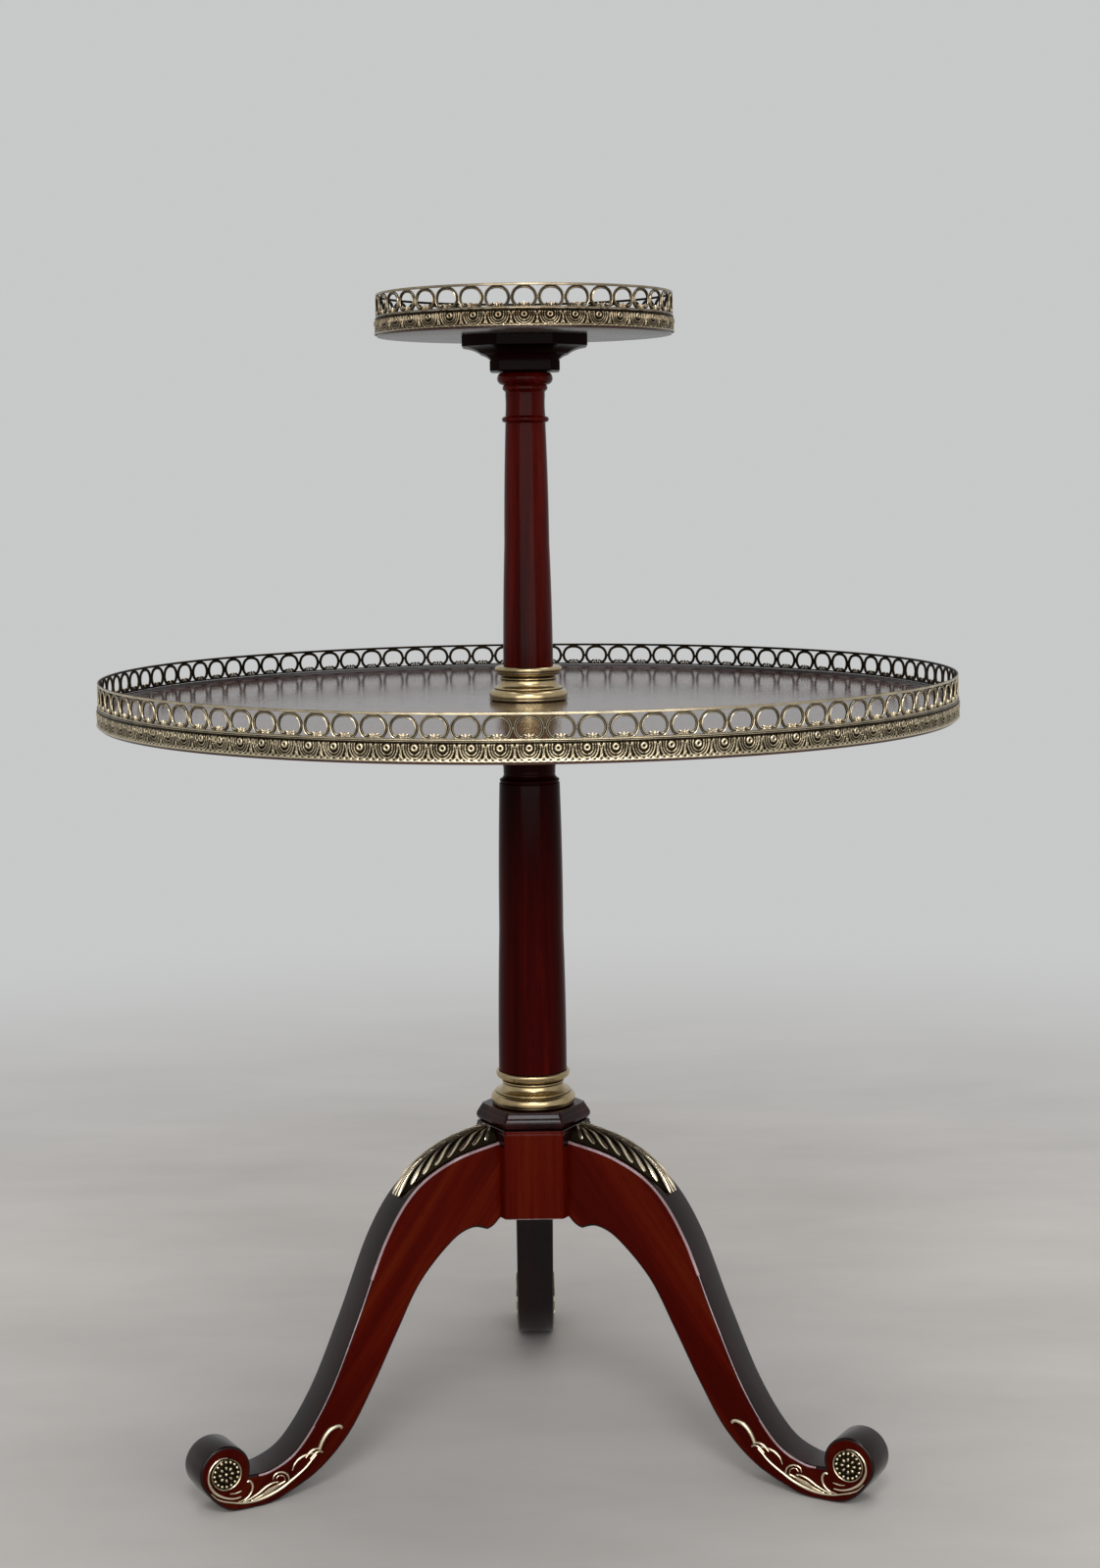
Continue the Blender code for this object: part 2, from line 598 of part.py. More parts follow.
def make_upper_column():
    """Upper shaft: spigot and insert pocket below, tenon through the corbel above."""
    shaft = bowed_corners(UPPER_COLUMN_CORNERS_SHARES, UPPER_SHAFT_RADIUS, UPPER_COLUMN_LENGTH,
                          UPPER_COLUMN_BOTTOM)
    pocket = INSERT_RADIUS + FIT
    profile = [(BORE_RADIUS, ROD_TOP + OVERRUN), (BORE_RADIUS, INSERT_TOP + FIT),
               (pocket, INSERT_TOP + FIT), (pocket, SPIGOT_BOTTOM), (TENON_RADIUS, SPIGOT_BOTTOM),
               (TENON_RADIUS, UPPER_COLUMN_BOTTOM)] + shaft
    profile += [(TOP_TENON_RADIUS, UPPER_COLUMN_TOP), (TOP_TENON_RADIUS, TOP_TENON_TOP)]
    lathe("upper_column", profile, COLUMN_SIDES, mahogany(), bored=False)


def make_hardware():
    """Tie rod, its brass insert in the upper column, and the washer and nut under the hub."""
    rod = ((ROD_RADIUS, NUT_BOTTOM - ROD_TAIL), (ROD_RADIUS, ROD_TOP))
    lathe("tie_rod", rod, HARDWARE_SIDES, steel(), bored=False)
    pieces = (("rod_insert", INSERT_RADIUS, BORE_RADIUS, SPIGOT_BOTTOM, INSERT_LENGTH,
               HARDWARE_SIDES, bright_brass()),
              ("rod_washer", WASHER_RADIUS, BORE_RADIUS, WASHER_BOTTOM, WASHER_THICKNESS,
               HARDWARE_SIDES, steel()),
              ("rod_nut", NUT_RADIUS, NUT_BORE_RADIUS, NUT_BOTTOM, NUT_HEIGHT, 6, steel()))
    for name, outer, bore, bottom, height, sides, material in pieces:
        profile = ((outer, bottom), (outer, bottom + height), (bore, bottom + height),
                   (bore, bottom))
        lathe(name, profile, sides, material, bored=True)


def canted_square(half_width, flat, height):
    """Square ring with its corners cut, anticlockwise from the +X side."""
    corner = [(half_width, -flat), (half_width, flat)]
    points = []
    for quarter in range(4):
        cos, sin = round(math.cos(quarter * math.pi / 2)), round(math.sin(quarter * math.pi / 2))
        points += [Vector((x * cos - y * sin, x * sin + y * cos, height)) for x, y in corner]
    return points


def make_corbel():
    """Block under the upper tray: canted square, hollowed outwards to a thin slab."""
    rings = [canted_square(wide * CORBEL_HALF_WIDTH, flat * CORBEL_FLAT_HALF_WIDTH,
                           CORBEL_BOTTOM + rise * CORBEL_HEIGHT)
             for wide, flat, rise in CORBEL_RING_SHARES]
    corbel = make_object("corbel_block", skin_rings(rings, False, True), mahogany())
    bore = TOP_TENON_RADIUS + FIT
    bore_through(corbel, ((bore, CORBEL_BOTTOM - OVERRUN), (bore, CORBEL_TOP + OVERRUN)))


def tray_rim(radius, bottom, surface, lip_height):
    """Edge of a tray board, from its underside over the lip down to its surface."""
    lip_top = surface + lip_height
    return [(radius, bottom), (radius, lip_top), (radius - LIP_WIDTH, lip_top),
            (radius - LIP_WIDTH - LIP_HOLLOW, surface)]


def make_main_tray():
    """Large board, bored for the lower column's tenon, with a shallow seat for the collar."""
    rim = tray_rim(MAIN_TRAY_RADIUS, MAIN_TRAY_BOTTOM, MAIN_TRAY_SURFACE, MAIN_LIP_HEIGHT)
    seat = UPPER_COLLAR_RADIUS + SEAT_MARGIN
    rim += [(seat, MAIN_TRAY_SURFACE), (seat, MAIN_TRAY_SURFACE - SEAT_DEPTH)]
    tray = lathe("main_tray", rim, MAIN_TRAY_SIDES, mahogany(), bored=False)
    bore_through(tray, ((TENON_BORE_RADIUS, MAIN_TRAY_BOTTOM - OVERRUN),
                        (TENON_BORE_RADIUS, MAIN_TRAY_SURFACE + OVERRUN)))


def make_upper_tray():
    """Small board with a blind mortise below for the upper column's tenon."""
    rim = tray_rim(UPPER_TRAY_RADIUS, UPPER_TRAY_BOTTOM, UPPER_TRAY_SURFACE, UPPER_LIP_HEIGHT)
    tray = lathe("upper_tray", rim, UPPER_TRAY_SIDES, mahogany(), bored=False)
    bore = TOP_TENON_RADIUS + FIT
    bore_through(tray, ((bore, UPPER_TRAY_BOTTOM - OVERRUN),
                        (bore, UPPER_TRAY_BOTTOM + TRAY_MORTISE_DEPTH)))


def make_band(name, tray_radius, bottom, top, sides):
    """Moulded brass band round a tray's edge."""
    inner = tray_radius + FIT
    height = (top - bottom) * (1 - BAND_DROP_SHARE)
    base = top - height
    profile = [(inner + depth * BAND_THICKNESS, base + rise * height)
               for depth, rise in BAND_PROFILE_SHARES]
    profile = [(inner, base)] + profile + [(inner, top)]
    lathe(name, profile, sides, gilt_brass(), bored=True)


def gallery_cell(pitch, base, top):
    """Places in one pitch of the gallery, as (along, height): the points that faces join."""
    low = base + BASE_RIB_HEIGHT
    under_rail = top - RAIL_HEIGHT
    high = under_rail - ARCH_WIRE
    wide = (pitch - STEM_WIDTH) / 2
    centre = low + (high - low) * ARCH_CENTRE_SHARE
    opening = []
    for angle in ARCH_ANGLES:
        tall = high - centre if math.sin(angle) >= 0 else (centre - low) / ARCH_FOOT_SHARE
        opening.append((wide * math.cos(angle), centre + tall * math.sin(angle)))
    reach = pitch * SPANDREL_HALF_WIDTH_SHARE
    tip = under_rail - (top - base) * SPANDREL_DEPTH_SHARE
    spandrel = [(pitch / 2 - reach, under_rail), (pitch / 2 + reach, under_rail), (pitch / 2, tip)]
    return opening + spandrel + [(0, top), (0, base)]


# Names of a cell's points, in the order that gallery_cell gives them.
RIGHT_FOOT, RIGHT, RIGHT_SHOULDER, CROWN, LEFT_SHOULDER, LEFT, LEFT_FOOT = range(7)
SPANDREL_LEFT, SPANDREL_RIGHT, SPANDREL_TIP, RAIL_TOP, RIB_FOOT = range(7, 12)

# Triangles of one pitch, each corner a point of this cell (0) or of the next (1).
CELL_TRIANGLES = (
    ((0, RAIL_TOP), (0, CROWN), (0, SPANDREL_LEFT)),
    ((0, RAIL_TOP), (0, SPANDREL_LEFT), (0, SPANDREL_RIGHT)),
    ((0, RAIL_TOP), (0, SPANDREL_RIGHT), (1, RAIL_TOP)),
    ((1, RAIL_TOP), (0, SPANDREL_RIGHT), (1, CROWN)),
    ((0, CROWN), (0, RIGHT_SHOULDER), (0, SPANDREL_LEFT)),
    ((0, RIGHT_SHOULDER), (0, SPANDREL_TIP), (0, SPANDREL_LEFT)),
    ((0, RIGHT_SHOULDER), (0, RIGHT), (0, SPANDREL_TIP)),
    ((1, CROWN), (0, SPANDREL_RIGHT), (1, LEFT_SHOULDER)),
    ((0, SPANDREL_RIGHT), (0, SPANDREL_TIP), (1, LEFT_SHOULDER)),
    ((0, SPANDREL_TIP), (1, LEFT), (1, LEFT_SHOULDER)),
    ((0, RIGHT), (1, LEFT), (0, SPANDREL_TIP)),
    ((0, RIGHT), (0, RIGHT_FOOT), (1, LEFT)),
    ((0, RIGHT_FOOT), (1, LEFT_FOOT), (1, LEFT)),
    ((0, RIGHT_FOOT), (0, RIB_FOOT), (1, RIB_FOOT)),
    ((0, RIGHT_FOOT), (1, RIB_FOOT), (1, LEFT_FOOT)),
    ((0, LEFT_FOOT), (0, RIB_FOOT), (0, RIGHT_FOOT)))

# Loops of a cell that get walls through the gallery's thickness.
OPENING_LOOP = (RIGHT_FOOT, RIGHT, RIGHT_SHOULDER, CROWN, LEFT_SHOULDER, LEFT, LEFT_FOOT)
SPANDREL_LOOP = (SPANDREL_LEFT, SPANDREL_TIP, SPANDREL_RIGHT)


def make_gallery(name, outer_radius, base, height, arches):
    """Pierced gallery: a strip of horseshoe arches under a rail, closed into a ring."""
    pitch = 2 * math.pi * outer_radius / arches
    cell = gallery_cell(pitch, base, base + height)
    data = bmesh.new()
    layers = []
    for radius in (outer_radius, outer_radius - GALLERY_THICKNESS):
        layers.append([])
        for arch in range(arches):
            turns = [2 * math.pi * (arch + along / pitch) / arches for along, _ in cell]
            spots = [(radius * math.cos(turn), radius * math.sin(turn), level)
                     for turn, (_, level) in zip(turns, cell)]
            layers[-1].append([data.verts.new(spot) for spot in spots])
    front, back = layers
    for arch in range(arches):
        here = (arch, (arch + 1) % arches)
        for triangle in CELL_TRIANGLES:
            data.faces.new([front[here[step]][point] for step, point in triangle])
            data.faces.new([back[here[step]][point] for step, point in reversed(triangle)])
        for loop in (OPENING_LOOP, SPANDREL_LOOP):
            for a, b in zip(loop, loop[1:] + loop[:1]):
                data.faces.new((front[arch][a], front[arch][b], back[arch][b], back[arch][a]))
        for point in (RAIL_TOP, RIB_FOOT):
            a, b = front[here[0]][point], front[here[1]][point]
            data.faces.new((a, b, back[here[1]][point], back[here[0]][point]))
    make_object(name, data, gilt_brass())


def make_brass_rims():
    """Band and gallery of both trays."""
    main_lip = MAIN_TRAY_SURFACE + MAIN_LIP_HEIGHT
    upper_lip = UPPER_TRAY_SURFACE + UPPER_LIP_HEIGHT
    make_band("main_band", MAIN_TRAY_RADIUS, MAIN_TRAY_BOTTOM, main_lip, MAIN_TRAY_SIDES)
    make_band("upper_band", UPPER_TRAY_RADIUS, UPPER_TRAY_BOTTOM, upper_lip, UPPER_TRAY_SIDES)
    make_gallery("main_gallery", MAIN_TRAY_RADIUS + GALLERY_SET_OUT, main_lip + FIT,
                 MAIN_GALLERY_HEIGHT, MAIN_ARCHES)
    make_gallery("upper_gallery", UPPER_TRAY_RADIUS + GALLERY_SET_OUT, upper_lip + FIT,
                 UPPER_GALLERY_HEIGHT, UPPER_ARCHES)


def main():
    """Build every piece of the table."""
    clear_scene()
    make_hub()
    make_legs()
    make_plinth()
    make_collar("lower_collar", LOWER_COLLAR_CORNERS_SHARES, LOWER_COLLAR_RADIUS,
                LOWER_COLLAR_HEIGHT, LOWER_COLLAR_BOTTOM)
    make_lower_column()
    make_main_tray()
    make_collar("upper_collar", UPPER_COLLAR_CORNERS_SHARES, UPPER_COLLAR_RADIUS,
                UPPER_COLLAR_HEIGHT, UPPER_COLLAR_BOTTOM)
    make_upper_column()
    make_corbel()
    make_upper_tray()
    make_brass_rims()
    make_hardware()


main()
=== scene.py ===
# %% [markdown]
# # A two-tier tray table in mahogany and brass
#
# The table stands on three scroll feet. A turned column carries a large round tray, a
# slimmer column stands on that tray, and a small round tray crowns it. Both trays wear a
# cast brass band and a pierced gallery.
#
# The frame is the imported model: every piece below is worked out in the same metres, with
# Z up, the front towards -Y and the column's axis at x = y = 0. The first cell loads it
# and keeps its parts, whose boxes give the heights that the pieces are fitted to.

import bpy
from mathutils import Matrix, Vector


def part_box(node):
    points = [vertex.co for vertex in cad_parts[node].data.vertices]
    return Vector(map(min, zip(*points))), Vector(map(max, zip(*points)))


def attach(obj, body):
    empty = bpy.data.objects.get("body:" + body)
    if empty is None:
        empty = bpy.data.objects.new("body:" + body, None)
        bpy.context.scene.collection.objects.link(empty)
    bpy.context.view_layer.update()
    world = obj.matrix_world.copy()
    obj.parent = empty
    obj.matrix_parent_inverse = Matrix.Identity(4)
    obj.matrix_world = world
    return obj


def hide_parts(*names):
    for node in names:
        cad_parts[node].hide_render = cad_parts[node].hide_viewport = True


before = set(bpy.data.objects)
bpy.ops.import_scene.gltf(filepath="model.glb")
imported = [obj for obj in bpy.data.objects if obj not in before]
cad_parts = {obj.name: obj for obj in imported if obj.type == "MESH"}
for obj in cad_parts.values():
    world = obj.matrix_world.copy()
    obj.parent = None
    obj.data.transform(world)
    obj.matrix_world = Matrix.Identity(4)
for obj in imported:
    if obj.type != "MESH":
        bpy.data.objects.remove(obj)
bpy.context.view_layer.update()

import math

import bpy
import numpy as np

MM = 0.001
GLUE_GAP = 0.3 * MM  # how far apart glued pieces stand


def heights(node):
    """Lowest and highest z of one node of the frame."""
    return [corner[2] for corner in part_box(node)]


# %% [markdown]
# ## The camera
#
# The photograph was taken from a little above the large tray, with the horizon a third of
# the way down the picture. The tilt, the slight roll and the lens were fitted to the two
# tray rims, the column and the three feet, so the camera is simply set to those values.

# %% Camera
camera_data = bpy.data.cameras.new("camera")
camera_data.lens = 57.57
camera_data.sensor_width = 36
camera = bpy.data.objects.new("camera", camera_data)
camera.location = (0, -2.2542, 0.8909)
camera.rotation_euler = [math.radians(angle) for angle in (90 - 7.056, 0.6, -0.544)]
bpy.context.scene.collection.objects.link(camera)
bpy.context.scene.camera = camera
bpy.context.scene.view_settings.view_transform = "Standard"
print("camera at", [round(value, 3) for value in camera.location])

# %% [markdown]
# ## Surfaces as arrays
#
# Blender's own primitives could be pulled into these shapes by hand, but a turned foot
# ring, a moulded edge or a leaf is easier to describe by a rule: a profile carried round
# an axis, or a section carried along a line. numpy works such a rule out for all points at
# once. A form is kept as a small dictionary of arrays until its piece is finished.
#
# Faces must look outwards, or the shading and the exported solid go wrong. The sum of
# a . (b x c) / 6 over all triangles is the enclosed volume, and it is negative when the
# faces look inwards, so one test puts every form right.

# %% Form helpers
def net(rows, columns, rows_close=False, columns_close=False):
    """Quads that join neighbours in a grid of rows x columns points, wrapping where it closes."""
    i = np.arange(rows if rows_close else rows - 1)[:, None]
    j = np.arange(columns if columns_close else columns - 1)[None, :]
    below, right = (i + 1) % rows, (j + 1) % columns
    corners = (i * columns + j, i * columns + right, below * columns + right, below * columns + j)
    return np.stack(corners, axis=-1).reshape(-1, 4)


def outwards(points, corners, sizes):
    """The faces' corners, each face read backwards if the sum of a . (b x c) is negative."""
    starts = np.cumsum(sizes) - sizes
    face = np.repeat(np.arange(len(sizes)), sizes)
    place = np.arange(len(corners)) - starts[face]
    middle = np.flatnonzero((place > 0) & (place < sizes[face] - 1))
    a, b, c = (points[corners[k]] for k in (starts[face[middle]], middle, middle + 1))
    if np.einsum("ij,ij->", a, np.cross(b, c)) < 0:
        return corners[starts[face] + sizes[face] - 1 - place]
    return corners


def form(points, quads, caps=(), **values):
    """Points, faces and point values of one closed shape, turned outwards by its volume."""
    points = np.asarray(points, float).reshape(-1, 3)
    sizes = np.concatenate([np.full(len(quads), 4), [len(cap) for cap in caps]]).astype(int)
    corners = np.concatenate([np.ravel(quads)] + [np.ravel(cap) for cap in caps]).astype(int)
    return {"points": points, "corners": outwards(points, corners, sizes), "sizes": sizes,
            "values": values}


def together(*forms):
    """Several forms as one, with the corner numbers of each moved past those before it."""
    counts = np.cumsum([0] + [len(f["points"]) for f in forms])
    names = {name for f in forms for name in f["values"]}
    values = {name: np.concatenate([np.broadcast_to(f["values"].get(name, 0.0), len(f["points"]))
                                    for f in forms]) for name in names}
    return {"points": np.concatenate([f["points"] for f in forms]),
            "corners": np.concatenate([f["corners"] + n for f, n in zip(forms, counts)]),
            "sizes": np.concatenate([f["sizes"] for f in forms]), "values": values}


def swung(shape, azimuth):
    """A form turned about the column's axis: x' = x cos a - y sin a, y' = x sin a + y cos a."""
    cos, sin = math.cos(azimuth), math.sin(azimuth)
    turn = np.array([[cos, sin, 0], [-sin, cos, 0], [0, 0, 1]])
    return {**shape, "points": shape["points"] @ turn}


print("a 3 x 4 net has", len(net(3, 4)), "quads")

# %% [markdown]
# A finished piece needs a mesh, a material, and its place in the frame: it rides on the
# table's one body and stands for the plain solid of the same name. Two values go with the
# points. "timber" is a position measured along the plank that the piece was cut from, so
# the grain runs the right way. The other is 0 on the high places of a casting and 1 in its
# hollows, where polish never reaches, and on the gallery wires, rails and palmettes it also
# paints shade on the sides turned away from the light.

# %% Piece maker
def make_piece(name, shape, material, nodes, timber=None, sharp=35):
    """A form as an object with smooth faces, its materials and its place in the frame."""
    mesh = bpy.data.meshes.new(name)
    points, corners, sizes = shape["points"], shape["corners"], shape["sizes"]
    mesh.vertices.add(len(points))
    mesh.vertices.foreach_set("co", points.astype(np.float32).ravel())
    mesh.loops.add(len(corners))
    mesh.loops.foreach_set("vertex_index", corners.astype(np.int32))
    mesh.polygons.add(len(sizes))
    mesh.polygons.foreach_set("loop_start", (np.cumsum(sizes) - sizes).astype(np.int32))
    mesh.update(calc_edges=True)
    for value_name, value in shape["values"].items():
        layer = mesh.attributes.new(value_name, "FLOAT", "POINT")
        layer.data.foreach_set("value", np.asarray(value, np.float32))
    if timber is not None:
        layer = mesh.attributes.new("timber", "FLOAT_VECTOR", "POINT")
        layer.data.foreach_set("vector", timber(points).astype(np.float32).ravel())
    mesh.materials.append(material)
    mesh.shade_smooth()
    mesh.set_sharp_from_angle(angle=math.radians(sharp))
    piece = bpy.data.objects.new(name, mesh)
    bpy.context.scene.collection.objects.link(piece)
    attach(piece, "root")
    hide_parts(*nodes)
    print(name, "has", len(points), "points and", int((sizes - 2).sum()), "triangles")
    return piece

# %% [markdown]
# ## Curves and sections
#
# A turner draws a moulding as fillets and arcs, and a wood carver draws a leg as one easy
# line. So the first tools are a smooth line through chosen points and an arc of a given
# rise between two corners. Blender's own curves could do both, but arrays can be measured,
# mirrored and joined before any mesh exists.

# %% Lines and arcs
def flowing(points, steps):
    """Catmull-Rom line: between two points, the cubic whose slopes follow their neighbours."""
    p = np.asarray(points, float)
    padded = np.vstack([p[:1], p, p[-1:]])
    a, b, c, d = (padded[k:len(padded) - 3 + k, None] for k in range(4))
    t = (np.arange(steps) / steps)[None, :, None]
    line = (2 * b + (c - a) * t + (2 * a - 5 * b + 4 * c - d) * t ** 2
            + (3 * (b - c) + d - a) * t ** 3) / 2
    return np.vstack([line.reshape(-1, p.shape[1]), p[-1:]])


def evenly(line, count):
    """The same line with count points at equal distances along it."""
    run = np.concatenate([[0], np.cumsum(np.linalg.norm(np.diff(line, axis=0), axis=1))])
    places = np.linspace(0, run[-1], count)
    return np.stack([np.interp(places, run, column) for column in line.T], axis=1)


def arc(start, end, bulge, steps):
    """Points after start up to end on the arc whose rise is bulge times its chord."""
    start, end = np.asarray(start, float), np.asarray(end, float)
    if not bulge:
        return end[None]
    chord = end - start
    length = np.linalg.norm(chord)
    along = chord / length
    outward = np.array([along[1], -along[0]]) * math.copysign(1, bulge)
    half = 2 * math.atan(2 * abs(bulge))
    radius = length / (2 * math.sin(half))
    turn = half * (2 * np.arange(1, steps + 1) / steps - 1)[:, None]
    rise = radius * (np.cos(turn) - math.cos(half))
    return (start + end) / 2 + along * radius * np.sin(turn) + outward * rise


print("3 points joined in 4 steps make", len(flowing([(0, 0), (1, 1), (2, 0)], 4)), "points")

# %% [markdown]
# A moulding is a row of such arcs. Every corner of it is rounded a little, because no
# polished edge is perfectly sharp and it is the rounding that catches the light. A Bevel
# modifier could round the finished mesh, but here the profile is still a few points.

# %% Profiles
def moulding(corners, radius=1.0, height=1.0, base=0.0, steps=10):
    """A profile from (radius share, height share, bulge) corners, each bulge an arc."""
    scaled = [(r * radius, base + z * height, bulge) for r, z, bulge in corners]
    parts = [np.array([scaled[0][:2]])]
    parts += [arc(a[:2], b[:2], b[2], steps) for a, b in zip(scaled, scaled[1:])]
    return np.vstack(parts)


def eased(profile, size, steps=4, closed=True):
    """Rounded corners: (1-t)^2 A + 2 t (1-t) P + t^2 B, with A and B up to size from P."""
    p = np.asarray(profile, float)

    def towards(q):
        gap = q - p
        length = np.maximum(np.linalg.norm(gap, axis=1, keepdims=True), 1e-9)
        return (p + gap * np.minimum(0.45, size / length))[:, None]

    t = np.linspace(0, 1, steps)[None, :, None]
    curve = ((1 - t) ** 2 * towards(np.roll(p, 1, 0)) + 2 * t * (1 - t) * p[:, None]
             + t ** 2 * towards(np.roll(p, -1, 0)))
    if closed:
        return curve.reshape(-1, 2)
    return np.vstack([p[:1], curve[1:-1].reshape(-1, 2), p[-1:]])


def circle(sides):
    """Unit circle of that many points, anticlockwise."""
    turn = np.linspace(0, 2 * np.pi, sides, endpoint=False)
    return np.stack([np.cos(turn), np.sin(turn)], axis=1)


print("an eased square has", len(eased([(0, 0), (1, 0), (1, 1), (0, 1)], 0.1)), "points")

# %% [markdown]
# A surface is then a row of rings, each joined to the next. A turned piece has one ring
# for every point of its profile, as the Screw modifier would make it, and the same rule
# carries a profile round a hexagon.

# %% Skins
def skin(rings, closed, **values):
    """Rings of points joined one to the next: a closed loop of rings, or capped at both ends."""
    rows, columns = rings.shape[:2]
    ends = (np.arange(columns)[::-1], np.arange((rows - 1) * columns, rows * columns))
    return form(rings, net(rows, columns, closed, True), () if closed else ends, **values)


ROUND = 144


def turned(profile, section=None, closed=True, bored_from=None):
    """A (radius, height) profile carried round a section, (x, y) = radius x section point.

    Rows from bored_from on are round holes even where the section is a polygon.
    """
    section = circle(ROUND) if section is None else section
    rings = np.repeat(section[None], len(profile), axis=0)
    if bored_from is not None:
        rings[bored_from:] = section / np.linalg.norm(section, axis=1, keepdims=True)
    flat = rings * profile[:, None, :1]
    level = np.broadcast_to(profile[:, None, 1:], flat.shape[:2] + (1,))
    return skin(np.concatenate([flat, level], axis=-1), closed)


tube = turned(np.array([(2, 0), (2, 1), (1, 1), (1, 0)]))
print("a turned tube has", len(tube["sizes"]), "faces")

# %% [markdown]
# ## Materials as small functions
#
# A material is a tree of nodes. Placed by hand, a tree is quick to try but slow to repeat
# in nine woods and four brasses, so whatever recurs becomes a function: a node with its
# settings, a noise stretched along the grain, a colour ramp, a mix of two colours.

# %% Node helpers
def wire(tree, source, target):
    """A link from an output to an input."""
    tree.links.new(source, target)


def add_node(tree, kind, settings=(), **inputs):
    """A node with its properties and its unconnected inputs set."""
    node = tree.nodes.new(kind)
    for key, value in dict(settings).items():
        setattr(node, key, value)
    for key, value in inputs.items():
        node.inputs[key.replace("_", " ")].default_value = value
    return node


def new_material(name):
    """A material with its tree and the shader in it."""
    material = bpy.data.materials.new(name)
    material.use_nodes = True
    return material, material.node_tree, material.node_tree.nodes["Principled BSDF"]


def stretched_noise(tree, vector, scale, detail=3.0, roughness=0.55, distortion=0.0):
    """Noise on a scaled copy of a vector: a large scale across the grain, a small one along."""
    mapping = add_node(tree, "ShaderNodeMapping", Scale=scale)
    noise = add_node(tree, "ShaderNodeTexNoise", Scale=1.0, Detail=detail, Roughness=roughness,
                     Distortion=distortion)
    wire(tree, vector, mapping.inputs["Vector"])
    wire(tree, mapping.outputs[0], noise.inputs["Vector"])
    return noise.outputs[0]


print("helpers for a link, a node, a material and a stretched noise")

# %% Colour and height helpers
def ramp(tree, value, stops):
    """A colour ramp from (position, colour) stops; a single number is a grey."""
    node = add_node(tree, "ShaderNodeValToRGB")
    elements = node.color_ramp.elements
    while len(elements) < len(stops):
        elements.new(0.5)
    for element, (position, colour) in zip(elements, stops):
        element.position = position
        colour = (colour,) * 3 if isinstance(colour, float) else colour
        element.color = (*colour, 1)
    wire(tree, value, node.inputs[0])
    return node.outputs[0]


def blend(tree, factor, a, b, mode="MIX"):
    """Two colours mixed by a factor; each may be a socket or a plain colour."""
    node = add_node(tree, "ShaderNodeMix", {"data_type": "RGBA", "blend_type": mode})
    for socket, value in ((node.inputs[0], factor), (node.inputs[6], a), (node.inputs[7], b)):
        if hasattr(value, "links"):
            wire(tree, value, socket)
        elif isinstance(value, float):
            socket.default_value = value
        else:
            socket.default_value = (*value, 1)
    return node.outputs[2]


def sum_of(tree, a, b, share):
    """a + share x b."""
    node = add_node(tree, "ShaderNodeMath", {"operation": "MULTIPLY_ADD"})
    node.inputs[1].default_value = share
    wire(tree, b, node.inputs[0])
    wire(tree, a, node.inputs[2])
    return node.outputs[0]


def bump(tree, height, strength, distance):
    """A normal tilted by a height, distance metres from its lowest to its highest place."""
    node = add_node(tree, "ShaderNodeBump", Strength=strength, Distance=distance)
    wire(tree, height, node.inputs["Height"])
    return node.outputs[0]


def own_place(tree):
    """A point's position on the piece itself, in metres."""
    return add_node(tree, "ShaderNodeTexCoord").outputs["Object"]


def point_value(tree, name, output):
    """A value that the piece's points carry."""
    return add_node(tree, "ShaderNodeAttribute", {"attribute_name": name}).outputs[output]


def dress(tree, shader, **sources):
    """Each source wired to the shader's input of that name."""
    for name, source in sources.items():
        wire(tree, source, shader.inputs[name.replace("_", " ")])


print("helpers for a ramp, a blend, a sum, a bump and the values of points")

# %% [markdown]
# ## Mahogany
#
# The wood is dark red-brown, stained and French polished. Seen close it has three scales:
# broad soft bands along the plank, fine streaks, and pores like short dark dashes. Each is
# a noise stretched along the grain. The "timber" value lets one recipe serve columns, legs
# and boards. The polish is a low roughness with a trace of bump, so lamps stay crisp.
#
# The same recipe is mixed in nine tones. The legs and the hub are the reddest, and painted
# shade darkens the legs towards the floor. The sawn edges and the trays' lips are almost
# black, which is painted shade, and the arrises between an edge and a flat side carry a
# painted highlight, a pale line. The columns are darker than the legs, and painted shade
# makes them darkest where they meet the large tray. The plinth is darker still, and the
# corbel is painted nearly black as shade under the small tray. The underside of the small
# tray was never polished and is a plain greyish brown.

# %% Mahogany
def mahogany(name, dark, middle, light, gloss, sheen, painted_shade=None):
    """Polished mahogany in three tones, with bands, streaks and pores along the timber.

    gloss is the roughness from and to, and sheen the strength of the reflection. The last
    argument, (level, other level, share), paints shade: the colour falls to that share on the
    way from the second level to the first.
    """
    material, tree, shader = new_material(name)
    timber = point_value(tree, "timber", "Vector")
    bands = stretched_noise(tree, timber, (34, 34, 1.7), 2.0, 0.5, 0.6)
    streaks = stretched_noise(tree, timber, (260, 260, 5), 5.0, 0.62)
    pores = stretched_noise(tree, timber, (1500, 1500, 60), 1.0, 0.4)
    tone = sum_of(tree, bands, streaks, 0.55)
    colour = ramp(tree, tone, ((0.55, dark), (0.78, middle), (1.0, light)))
    dashes = ramp(tree, pores, ((0.60, 1.0), (0.70, 0.62)))
    if painted_shade:
        darkest_level, lightest, share = painted_shade
        place = add_node(tree, "ShaderNodeSeparateXYZ")
        wire(tree, own_place(tree), place.inputs[0])
        level = add_node(tree, "ShaderNodeMapRange", From_Min=darkest_level, From_Max=lightest,
                         To_Min=share)
        wire(tree, place.outputs["Z"], level.inputs["Value"])
        colour = blend(tree, 1.0, colour, level.outputs[0], "MULTIPLY")
    grain = sum_of(tree, streaks, dashes, 0.8)
    dress(tree, shader, Base_Color=blend(tree, 1.0, colour, dashes, "MULTIPLY"),
          Roughness=ramp(tree, streaks, ((0.3, gloss[0]), (0.7, gloss[1]))),
          Normal=bump(tree, grain, 0.10, 0.00025))
    shader.inputs["Specular IOR Level"].default_value = sheen
    return material
